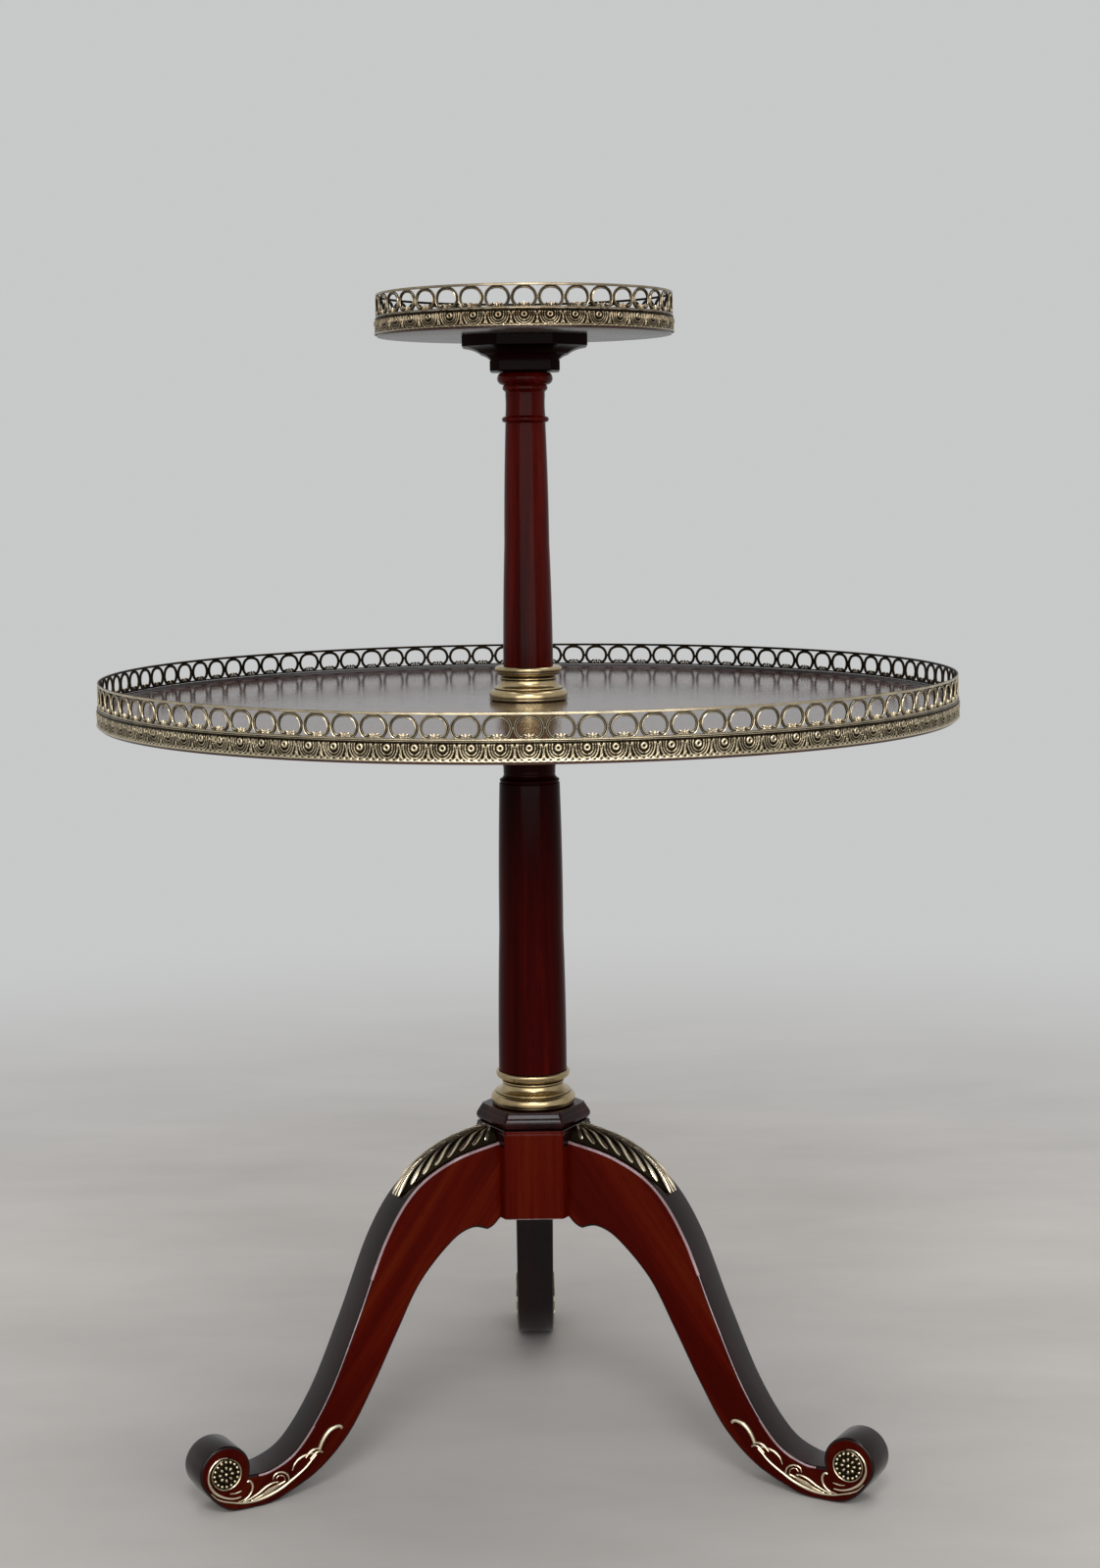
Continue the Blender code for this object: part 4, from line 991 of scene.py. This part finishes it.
# %% [markdown]
# A leaf is a ribbed section carried along a line on that body, so it follows every slope.
# Sculpting would be quicker for one leaf, but there are eighteen on each knee, and one
# rule bends them all.

# %% Knee leaves
def bar(line, side, up, half_width, height, section, recess):
    """A section carried along a line: side x half width across, up x height above."""
    rings = (line[:, None] + side[:, None] * (half_width[:, None] * section[:, 0])[..., None]
             + up[:, None] * (height[:, None] * section[:, 1])[..., None])
    return skin(rings, False, recess=np.broadcast_to(recess, rings.shape[:2]).ravel())


RIB = np.array([(-1.0, 0.0), (-0.86, 0.62), (-0.42, 0.78), (0.0, 1.15), (0.42, 0.78),
                (0.86, 0.62), (1.0, 0.0), (0.0, -0.5)])
RIB_RECESS = np.array([1.0, 0.42, 0.50, 0.0, 0.50, 0.42, 1.0, 1.0])


def ribbed(line, up, half_width, height, wear_and_highlight):
    """RIB, a leaf's section with a vein, carried along a line; the last value lightens it, as wear
    and as a painted highlight.
    """
    side = np.cross(np.gradient(line, axis=0), up)
    side /= np.linalg.norm(side, axis=1, keepdims=True)
    recess = np.clip(RIB_RECESS[None] + 0.55 - wear_and_highlight[:, None], 0, 1)
    return bar(line, side, up, half_width, height, RIB, recess)


def knee_leaf(tip, length, reach, width, side):
    """One leaf on the saddle: across = 1 mm + reach x (1 - (1 - t)^1.35), its tip lifted."""
    t = np.linspace(0, 1, 20)
    along = np.maximum(tip - length * (1 - t), 0.0008)
    across = side * (0.0010 + reach * (1 - (1 - t) ** 1.35))
    line, up = on_body(along, across, 0.0002 + 0.0012 * t ** 3)
    half_width = width * np.interp(t, [0, 0.3, 0.75, 0.92, 1], [0.34, 0.60, 1.0, 0.90, 0.36])
    # Towards its lifted tip the leaf is paler: wear on a high place, and a painted highlight.
    wear_and_highlight = np.interp(t, [0, 0.5, 0.78, 1], [0.50, 0.55, 0.95, 1.15])
    return ribbed(line, up, half_width, 0.0005 + 0.62 * half_width, wear_and_highlight)


LEAVES_A_SIDE, FIRST_TIP, LEAF_PITCH = 8, 0.0125, 0.0131
LEAF_LENGTH, LEAF_WIDTH = 0.0360, 0.0019
leaves = []
for side in (-1, 1):
    for tip in FIRST_TIP + LEAF_PITCH * np.arange(LEAVES_A_SIDE):
        reach = 0.95 * float(body_width(tip)) - 0.0014
        leaves.append(knee_leaf(tip, min(LEAF_LENGTH, tip + 0.006), reach, LEAF_WIDTH, side))
    leaves.append(knee_leaf(MOUNT_RUN + 0.0004, 0.034, 0.0036, 0.0016, side))
share = np.linspace(0, 1, 40)
ridge_along = 0.0008 + (MOUNT_RUN - 0.0004) * share
ridge_line, ridge_up = on_body(ridge_along, 0 * share, 0 * share)
ridge = ribbed(ridge_line, ridge_up, 0.0016 - 0.0006 * share, 0.0018 - 0.0006 * share,
               0.45 + 0.3 * share)
saddle = together(saddle_body, ridge, *leaves)
for leg, azimuth in LEGS.items():
    make_piece("knee_leaves_" + leg, swung(saddle, azimuth), mount_gilt,
               ["knee_mount_" + leg])

# %% [markdown]
# ## Rosettes and sprays on the feet
#
# Both sides of each foot carry a round button and, round and behind it, a thin casting of
# scrolls and leaves. The button is a height over a disc, written in its own radius and
# angle: a rim, a ring of beads, a flower and a knob. The sixteen beads come from one sine,
# where copies would be sixteen little spheres.

# %% Foot buttons
def bell(distance, width):
    """Smooth hump exp(-(distance / width)^2)."""
    return np.exp(-(distance / width) ** 2)


def button(radius):
    """Disc whose height in millimetres depends on radius and angle, closed by a flat back.

    The height adds 0.6 mm of ground, a rim at 13.4 mm, sixteen beads at 11 mm, a line at
    8.7 mm, eight petals round 5.6 mm and a knob in the middle.
    """
    rim = [radius - 0.1, radius, radius]
    r = np.concatenate([np.linspace(0.25, radius - 0.35, 34), rim])[:, None]
    angle = np.linspace(0, 2 * np.pi, 144, endpoint=False)[None]
    from_bead = ((r - 11.0) / 1.5) ** 2 + (11.0 * np.sin(8 * angle) / 8 / 1.3) ** 2
    beads = np.sqrt(np.clip(1 - from_bead, 0, 1))
    petals = np.clip(np.abs(np.cos(4 * angle)) * 1.25 - 0.35, 0, 1) * bell(r - 5.6, 2.2) * (r < 8.4)
    height = (0.6 + 1.7 * bell(r - 13.4, 0.6) + 1.5 * beads + 1.45 * petals
              + 1.7 * bell(r, 1.5) + 0.7 * bell(r - 8.7, 0.4))
    height = np.where(r > radius - 0.2, [[1.5]], height)
    height[-1], height[-2] = 0.0, 1.1
    recess = np.clip((1.75 - height) / 0.8, 0, 1)
    points = np.stack([r * np.cos(angle), height, r * np.sin(angle)], axis=-1) * MM
    return skin(points, False, recess=recess.ravel())


FACES = {"left": 1, "right": -1}


def on_feet(shape, part, piece_part, metal):
    """One casting on both faces of every foot: y' = side x (half the plank + 0.2 mm + y)."""
    for leg, azimuth in LEGS.items():
        for face, side in FACES.items():
            points = shape["points"] * [1, side, 1] + [0, side * (HALF_PLANK + 0.0002), 0]
            corners = outwards(points, shape["corners"], shape["sizes"])
            seated = {**shape, "points": points, "corners": corners}
            make_piece("foot_%s_%s_%s" % (piece_part, leg, face), swung(seated, azimuth), metal,
                       ["foot_%s_%s_%s" % (part, leg, face)])


rosette = button(14.3)
rosette["points"] += [REACH, 0, 0.0364]
on_feet(rosette, "rosette", "button", rim_gilt)

# %% [markdown]
# The spray is drawn as lines in the plane of the leg, in millimetres, each with a width
# that swells and dies away. A curve with a bevel would give such a bar too, but as arrays
# its tapered ends and its squashed back are easier to steer.

# %% Stems
HALF_ROUND = circle(8)
HALF_ROUND_RECESS = np.clip(0.38 - HALF_ROUND[:, 1], 0, 1)
HALF_ROUND[:, 1] *= np.where(HALF_ROUND[:, 1] > 0, 1, 0.2)


def stem(points, start, middle, end, height=1.5, steps=7, peak=0.5):
    """A bar along a line of (out, up) millimetres, its half width going start, middle, end.

    Its section is a circle whose lower half is squashed to a fifth, so it sits on its ground.
    """
    line = flowing(points, steps) * MM
    t = np.linspace(0, 1, len(line))
    half_width = np.interp(t, [0, peak, 1], [start, middle, end]) * MM
    heading = np.gradient(line, axis=0)
    heading /= np.maximum(np.linalg.norm(heading, axis=1, keepdims=True), 1e-9)
    centre = np.stack([line[:, 0], 0 * t, line[:, 1]], axis=1)
    side = np.stack([-heading[:, 1], 0 * t, heading[:, 0]], axis=1)
    up = np.tile([0.0, 1.0, 0.0], (len(line), 1))
    tall = np.minimum(height * MM, half_width * 1.25 + 0.0004)
    return bar(centre, side, up, half_width, tall, HALF_ROUND, HALF_ROUND_RECESS)


print("a stem has", len(HALF_ROUND), "sides")

# %% Foot sprays
# Each row: the line's points, then half widths, height, steps and peak as stem takes them.
STEMS = (
    ([(319.4, 50.8), (326.2, 51.0), (332.7, 47.3), (336.8, 40.3), (337.0, 31.5), (332.4, 22.7),
      (324.3, 16.5), (315.3, 13.3), (307.9, 13.4)], 0.5, 1.45, 0.8, 1.5, 7, 0.6),
    ([(318.1, 18.2), (312.5, 17.5), (307.0, 18.6)], 0.4, 0.7, 0.4, 0.8),
    ([(335.4, 22.1), (329.2, 15.5), (320.2, 11.1), (308.8, 8.1)], 0.4, 0.8, 0.8, 1.0),
    ([(310.4, 9.1), (303.9, 10.4), (299.1, 14.0), (296.9, 18.8), (297.3, 23.3), (299.8, 26.1),
      (301.6, 25.4)], 0.5, 1.25, 1.1),
    ([(322.6, 12.1), (309.6, 8.1), (298.2, 6.8), (288.4, 7.4), (278.6, 9.6), (268.8, 13.1),
      (260.6, 17.5), (252.5, 22.2), (245.1, 27.3), (239.4, 32.8), (235.5, 36.2)],
     0.6, 1.7, 0.9, 1.6, 6, 0.35),
    ([(305.5, 8.0), (298.2, 10.2), (290.8, 13.3), (283.5, 17.4), (277.0, 19.4), (272.4, 19.3)],
     0.5, 1.2, 0.7, 1.4),
    ([(298.2, 7.7), (289.2, 10.0), (279.9, 13.0), (271.2, 16.4), (265.5, 18.8)],
     0.4, 2.1, 0.5, 1.1),
    ([(277.3, 22.2), (276.0, 26.0), (271.4, 27.8), (265.9, 25.9), (262.8, 22.2), (262.1, 17.5)],
     0.5, 1.0, 0.8),
    ([(274.3, 21.9), (272.5, 24.2), (269.5, 24.5), (266.7, 22.6), (265.5, 19.4)],
     0.3, 0.5, 0.4, 1.0),
    ([(258.8, 26.2), (256.4, 32.1), (251.5, 36.1), (245.3, 38.0), (238.8, 38.4)],
     0.5, 1.15, 1.0),
    ([(245.6, 35.3), (241.4, 39.9), (235.5, 41.5), (230.6, 39.6)], 0.7, 1.35, 0.7, 1.8, 6),
    ([(241.4, 33.2), (236.8, 37.3), (232.6, 38.5), (229.3, 36.9)], 0.6, 1.15, 0.6, 2.1, 6),
    ([(232.3, 40.7), (229.3, 46.8), (225.7, 51.8), (221.2, 55.7), (215.6, 57.7), (212.0, 57.3),
      (209.9, 55.2)], 1.7, 2.1, 1.6, 1.7),
)
on_feet(together(*(stem(*row) for row in STEMS)), "spray", "leaves", mount_gilt)

# %% [markdown]
# ## Cast bands
#
# Round each tray's edge runs a band of repeated flowers. Modelling one flower and copying
# it would do, but the pattern is really a relief: a height that depends on how far along
# and how far down the band a point is. One formula gives the eye, the cups round it, the
# dart between two flowers, and the lines and bead at the edges, and the profile's radius
# simply grows by that height.

# %% Bands
def flower_height(x, y):
    """Relief in millimetres at x along one repeat (-11 to 11) and y down from the top edge."""
    x, y = np.broadcast_arrays(x, y)
    r = np.hypot(x, y - 5.6)
    cup = np.hypot(x, np.where(y > 5.6, 0.86, 0.75) * (y - 5.6))
    shown = np.clip((y - 1.9) / 1.0, 0, 1)
    eye = 1.75 * bell(r - 1.9, 0.95) - 0.9 * bell(r, 0.75)
    cups = np.maximum.reduce([1.15 * bell(cup - 4.7, 0.55), 1.05 * bell(cup - 6.6, 0.55),
                              1.15 * bell(cup - 8.6, 0.62)])
    spindle = 1.2 * bell(11.0 - np.abs(x) - 0.30 - 0.042 * (y - 8.4) ** 2, 0.55) * (y < 13.6)
    bud = 1.0 * bell(np.hypot((11 - np.abs(x)) / 0.8, (y - 12.4) / 1.2), 1.2)
    ornament = np.maximum.reduce([eye, cups * (cup < 9.6), spindle, bud]) * shown
    scallop = 1.1 * bell(y - 14.1 + 0.45 * np.abs(np.cos(np.pi * x / 5.5)), 0.5)
    lines = 1.0 * bell(y - 0.5, 0.45) + 0.7 * bell(y - 1.6, 0.35)
    beading = (y - 15.5 - 0.18 * np.cos(2 * np.pi * x / 5.5)) / 0.95
    bead = 1.75 * np.sqrt(np.clip(1 - beading ** 2, 0, 1))
    return np.maximum.reduce([ornament, scallop, lines, bead])


def band(name, node, tray_radius, repeats, per_repeat, rows, metal):
    """Ring whose outer radius is tray + 0.3 mm gap + 0.5 mm ground + the relief, top to foot."""
    low, high = heights(node)
    columns = repeats * per_repeat
    turn = 2 * np.pi * np.arange(columns) / columns
    x = 22.0 * ((np.arange(columns) / per_repeat) % 1 - 0.5)
    down = np.linspace(0, 1, rows)
    relief = flower_height(x[None], 16.6 * down[:, None])
    inner = np.full((1, columns), tray_radius + GLUE_GAP)
    outer = inner + (0.5 + np.clip(relief, 0, 1.8)) * MM
    radius = np.vstack([inner, outer, inner])
    drop = np.concatenate([[0], down, [1]])
    level = np.broadcast_to((high - drop * (high - low))[:, None], radius.shape)
    points = np.stack([radius * np.cos(turn), radius * np.sin(turn), level], axis=-1)
    hidden = np.ones((1, columns))
    recess = np.vstack([hidden, np.clip(1.15 - relief / 0.95, 0, 1), hidden])
    make_piece(name, skin(points, True, recess=recess.ravel()), metal, [node],
               sharp=75)


band("main_flower_band", "main_band", TRAY_RADIUS, 110, 30, 27, rim_gilt)
band("upper_flower_band", "upper_band", SMALL_RADIUS, 38, 44, 32, shaded_gilt)

# %% [markdown]
# ## Pierced galleries
#
# On each lip stands a fence of rings. A ring is a wire bent to a horseshoe whose ends curl
# inwards, with a small palmette between them. The wire has two ridges in front, and that
# double line is what the eye reads as a casting. It has only seven sides, since there are
# a hundred rings and each is as small as a coin.

# %% Gallery wire
WIRE = np.array([(-1.0, 0.0), (-0.62, 0.95), (0.0, 0.35), (0.62, 0.95), (1.0, 0.0),
                 (0.8, -1.0), (-0.8, -1.0)])
# Painted shade: the wire's sides and back are dark and only its two ridges are bright; the groove
# between the ridges holds patina.
WIRE_PATINA_AND_SHADE = np.array([0.75, 0.0, 0.85, 0.0, 0.75, 0.9, 0.9])


def wire_form(points, half_width, half_depth, steps=2):
    """WIRE, a bar with two ridges in front, carried along a line of (along, height) millimetres."""
    line = flowing(points, steps)
    heading = np.gradient(line, axis=0)
    heading /= np.linalg.norm(heading, axis=1, keepdims=True)
    normal = np.stack([-heading[:, 1], heading[:, 0]], axis=1)
    taper = np.interp(np.linspace(0, 1, len(line)), [0, 0.12, 0.88, 1], [0.5, 1, 1, 0.5])
    half_width = half_width * taper
    across = line[:, None] + normal[:, None] * (half_width[:, None] * WIRE[:, 0])[..., None]
    deep = np.broadcast_to(half_depth * WIRE[:, 1], across.shape[:2])
    rings = np.stack([across[..., 0], deep, across[..., 1]], axis=-1)
    return skin(rings, False, recess=np.broadcast_to(WIRE_PATINA_AND_SHADE, deep.shape).ravel())


def lobe(centre, half_along, half_height, depth, lean, recess):
    """Small ellipsoid of 6 x 5 faces, leaning by an angle in the plane of the fence."""
    up = np.linspace(-1, 1, 6)[1:-1, None] * np.pi / 2
    around = np.linspace(0, 2 * np.pi, 6, endpoint=False)[None]
    x = half_along * np.cos(up) * np.cos(around)
    y = depth * np.cos(up) * np.sin(around)
    z = half_height * np.sin(up) + 0 * around
    x, z = x * math.cos(lean) + z * math.sin(lean), z * math.cos(lean) - x * math.sin(lean)
    points = np.stack([x + centre[0], y, z + centre[1]], axis=-1)
    # Painted shade: the back of each lobe, turned towards the tray, is dark.
    return skin(points, False, recess=np.where(y > -0.2, recess, 0.9).ravel())


print("the wire has", len(WIRE), "sides")

# %% One repeat
# The right half of a ring from its crown to its curled end, in shares of its width and height.
HALF_RING = ((0, 1.0), (0.50, 0.945), (0.83, 0.78), (0.99, 0.53), (0.97, 0.32), (0.82, 0.13),
             (0.60, 0.035), (0.42, 0.075), (0.37, 0.16))


def gallery_repeat(pitch, height):
    """One ring with its palmette, in millimetres, between the foot strip and the rail.

    The ring reaches from 1.4 mm above the lip to 3 mm under the rail's top, and leaves
    1.5 mm on either side for its own wire.
    """
    half = np.array(HALF_RING) * [(pitch - 3.0) / 2, height - 4.4] + [0, 1.4]
    ring = np.vstack([half[:0:-1] * [-1, 1], half])
    parts = [wire_form(ring, 1.42, 0.95), lobe((0, 3.1), 0.95, 2.4, 1.0, 0.0, 0.0),
             lobe((pitch / 2, 1.4 + 0.45 * (height - 4.4)), 0.9, 1.3, 0.6, 0.0, 0.5)]
    for side in (-1, 1):
        parts.append(lobe((side * 2.5, 3.7), 1.9, 0.8, 0.95, -side * 0.5, 0.05))
        parts.append(lobe((side * 2.2, 1.8), 1.1, 0.8, 0.9, 0.0, 0.2))
    return together(*parts)


print("one repeat has", len(gallery_repeat(24, 21)["points"]), "points")

# %% [markdown]
# The repeat is flat so far, as distance along, depth and height. It is wrapped round the
# tray by a rule: the angle is distance over radius. Array and Curve modifiers could do
# that too, but the last ring might not meet the first. A rail and a foot strip, turned
# like any ring, hold all of them together.

# %% Galleries
def wrapped(shape, repeats, radius, base):
    """A flat repeat laid round a circle many times: angle = distance along / radius."""
    along, depth, height = shape["points"].T * MM
    copies = np.arange(repeats)[:, None]
    turn = along[None] / radius + 2 * np.pi * copies / repeats
    out = radius + depth[None]
    level = np.broadcast_to(base + height, turn.shape)
    points = np.stack([out * np.sin(turn), -out * np.cos(turn), level], axis=-1)
    return {"points": points.reshape(-1, 3),
            "corners": (shape["corners"][None] + len(along) * copies).ravel(),
            "sizes": np.tile(shape["sizes"], repeats),
            "values": {name: np.tile(value, repeats) for name, value in shape["values"].items()}}


RAIL = eased([(-0.85, -2.1), (0.7, -2.1), (0.9, -1.5), (0.75, -1.1), (0.9, -0.6), (0.5, 0),
              (-0.5, 0), (-0.9, -0.6)], 0.3, 3)
FOOT_STRIP = eased([(-0.85, 0), (0.9, 0), (0.9, 0.5), (0.6, 0.7), (0.85, 0.95), (0.5, 1.3),
                    (-0.8, 1.3), (-0.9, 1.0)], 0.2, 3)


def hoop(section, radius, level, sides=256):
    """A section in millimetres turned round the axis, brightest on its outer side and
    painted with shade on its inner side.
    """
    shape = turned(section * MM + [radius, level], circle(sides))
    recess = np.interp(section[:, 0], [-0.9, 0.5, 0.9], [0.8, 0.55, 0.05])
    shape["values"] = {"recess": np.repeat(recess, sides)}
    return shape


def gallery(name, node, outer, repeats, height, metal):
    """Foot strip, rings and rail on one lip."""
    low = heights(node)[0]
    middle = outer - 0.9 * MM
    rings = wrapped(gallery_repeat(2 * np.pi * outer / MM / repeats, height), repeats, middle, low)
    fence = together(hoop(RAIL, middle, low + height * MM), hoop(FOOT_STRIP, middle, low), rings)
    make_piece(name, fence, metal, [node], sharp=50)


gallery("main_ring_gallery", "main_gallery", TRAY_RADIUS + 0.0009, 100, 21.2, rim_gilt)
gallery("upper_ring_gallery", "upper_gallery", SMALL_RADIUS + 0.0009, 36, 20.6, shaded_gilt)

# %% [markdown]
# ## Floor and light
#
# The background is pale and plain. It is seen by the camera and in the polish but lights
# nothing, so its tone can be chosen by itself: a Light Path node tells the rays apart.

# %% Background
BACKGROUND = (0.575, 0.580, 0.580)


def seen_directly(tree):
    """1 for camera, mirror and see-through rays, 0 for the rays that light the table."""
    rays = add_node(tree, "ShaderNodeLightPath")
    seen = rays.outputs["Is Camera Ray"]
    for kind in ("Is Glossy Ray", "Is Transmission Ray"):
        either = add_node(tree, "ShaderNodeMath", {"operation": "MAXIMUM"})
        wire(tree, seen, either.inputs[0])
        wire(tree, rays.outputs[kind], either.inputs[1])
        seen = either.outputs[0]
    return seen


def mixed(tree, factor, first, second, output):
    """Two shaders mixed by a factor and wired to the material's or the world's output."""
    mix = add_node(tree, "ShaderNodeMixShader")
    for place, source in enumerate((factor, first.outputs[0], second.outputs[0])):
        wire(tree, source, mix.inputs[place])
    wire(tree, mix.outputs[0], tree.nodes[output].inputs["Surface"])


print("background", BACKGROUND)

# %% [markdown]
# A wide plain floor takes the shadow and fades into the background before it ends, so no
# horizon shows. The fade follows the distance from the table's axis.

# %% Floor
HALF_FLOOR, FADE_FROM, FADE_TO = 9, 0.75, 2.6
floor_mesh = bpy.data.meshes.new("floor")
floor_mesh.from_pydata([(x * HALF_FLOOR, y * HALF_FLOOR, 0)
                        for x, y in ((-1, -1), (1, -1), (1, 1), (-1, 1))], [], [(0, 1, 2, 3)])
floor = bpy.data.objects.new("floor", floor_mesh)
bpy.context.scene.collection.objects.link(floor)

floor_material, tree, shader = new_material("pale floor")
floor_mesh.materials.append(floor_material)
place = own_place(tree)
clouds = stretched_noise(tree, place, (2.2, 5, 1), 5.0, 0.6)
dress(tree, shader, Base_Color=ramp(tree, clouds, ((0.3, (0.410, 0.393, 0.370)),
                                                   (0.7, (0.485, 0.465, 0.440)))))
shader.inputs["Roughness"].default_value = 0.75
shader.inputs["Specular IOR Level"].default_value = 0.2
distance = add_node(tree, "ShaderNodeVectorMath", {"operation": "LENGTH"})
fade = add_node(tree, "ShaderNodeMapRange", {"interpolation_type": "SMOOTHSTEP"},
                From_Min=FADE_FROM, From_Max=FADE_TO)
faded = add_node(tree, "ShaderNodeMath", {"operation": "MULTIPLY"})
wire(tree, place, distance.inputs[0])
wire(tree, distance.outputs["Value"], fade.inputs["Value"])
wire(tree, fade.outputs[0], faded.inputs[0])
wire(tree, seen_directly(tree), faded.inputs[1])
glow = add_node(tree, "ShaderNodeEmission", Color=(*BACKGROUND, 1), Strength=1.0)
mixed(tree, faded.outputs[0], shader, glow, "Material Output")
print("floor fades from", FADE_FROM, "to", FADE_TO, "m")

# %% [markdown]
# A soft sky and three broad lamps light the table, one overhead and two in front, which
# give the long gentle highlights of large windows. They are area lamps and not points,
# because polish shows a lamp's own shape.

# %% Sky and lamps
world = bpy.data.worlds.new("studio")
world.use_nodes = True
bpy.context.scene.world = world
sky = world.node_tree.nodes["Background"]
sky.inputs["Color"].default_value = (*BACKGROUND, 1)
soft = add_node(world.node_tree, "ShaderNodeBackground", Color=(0.46, 0.46, 0.47, 1),
                Strength=1.0)
mixed(world.node_tree, seen_directly(world.node_tree), soft, sky, "World Output")


def lamp(name, place, target, width, height, watts, colour=(1, 1, 1)):
    """Rectangular soft lamp at a place, facing a target."""
    data = bpy.data.lights.new(name, "AREA")
    data.shape = "RECTANGLE"
    data.size, data.size_y = width, height
    data.energy = watts
    data.color = colour
    item = bpy.data.objects.new(name, data)
    item.location = place
    x, y, z = np.array(target, float) - np.array(place, float)
    item.rotation_euler = (math.atan2(math.hypot(x, y), -z), 0, math.atan2(x, -y) + math.pi)
    bpy.context.scene.collection.objects.link(item)


lamp("overhead", (0.2, 0.3, 3.2), (0, 0, 0.4), 2.6, 2.6, 50)
lamp("wide front window", (0.1, -2.8, 1.30), (0, 0, 0.7), 4.2, 2.1, 62, (1.0, 0.99, 0.97))
lamp("high front", (0.0, -2.7, 2.80), (0, 0, 0.5), 0.9, 0.85, 36, (0.95, 0.97, 1.0))
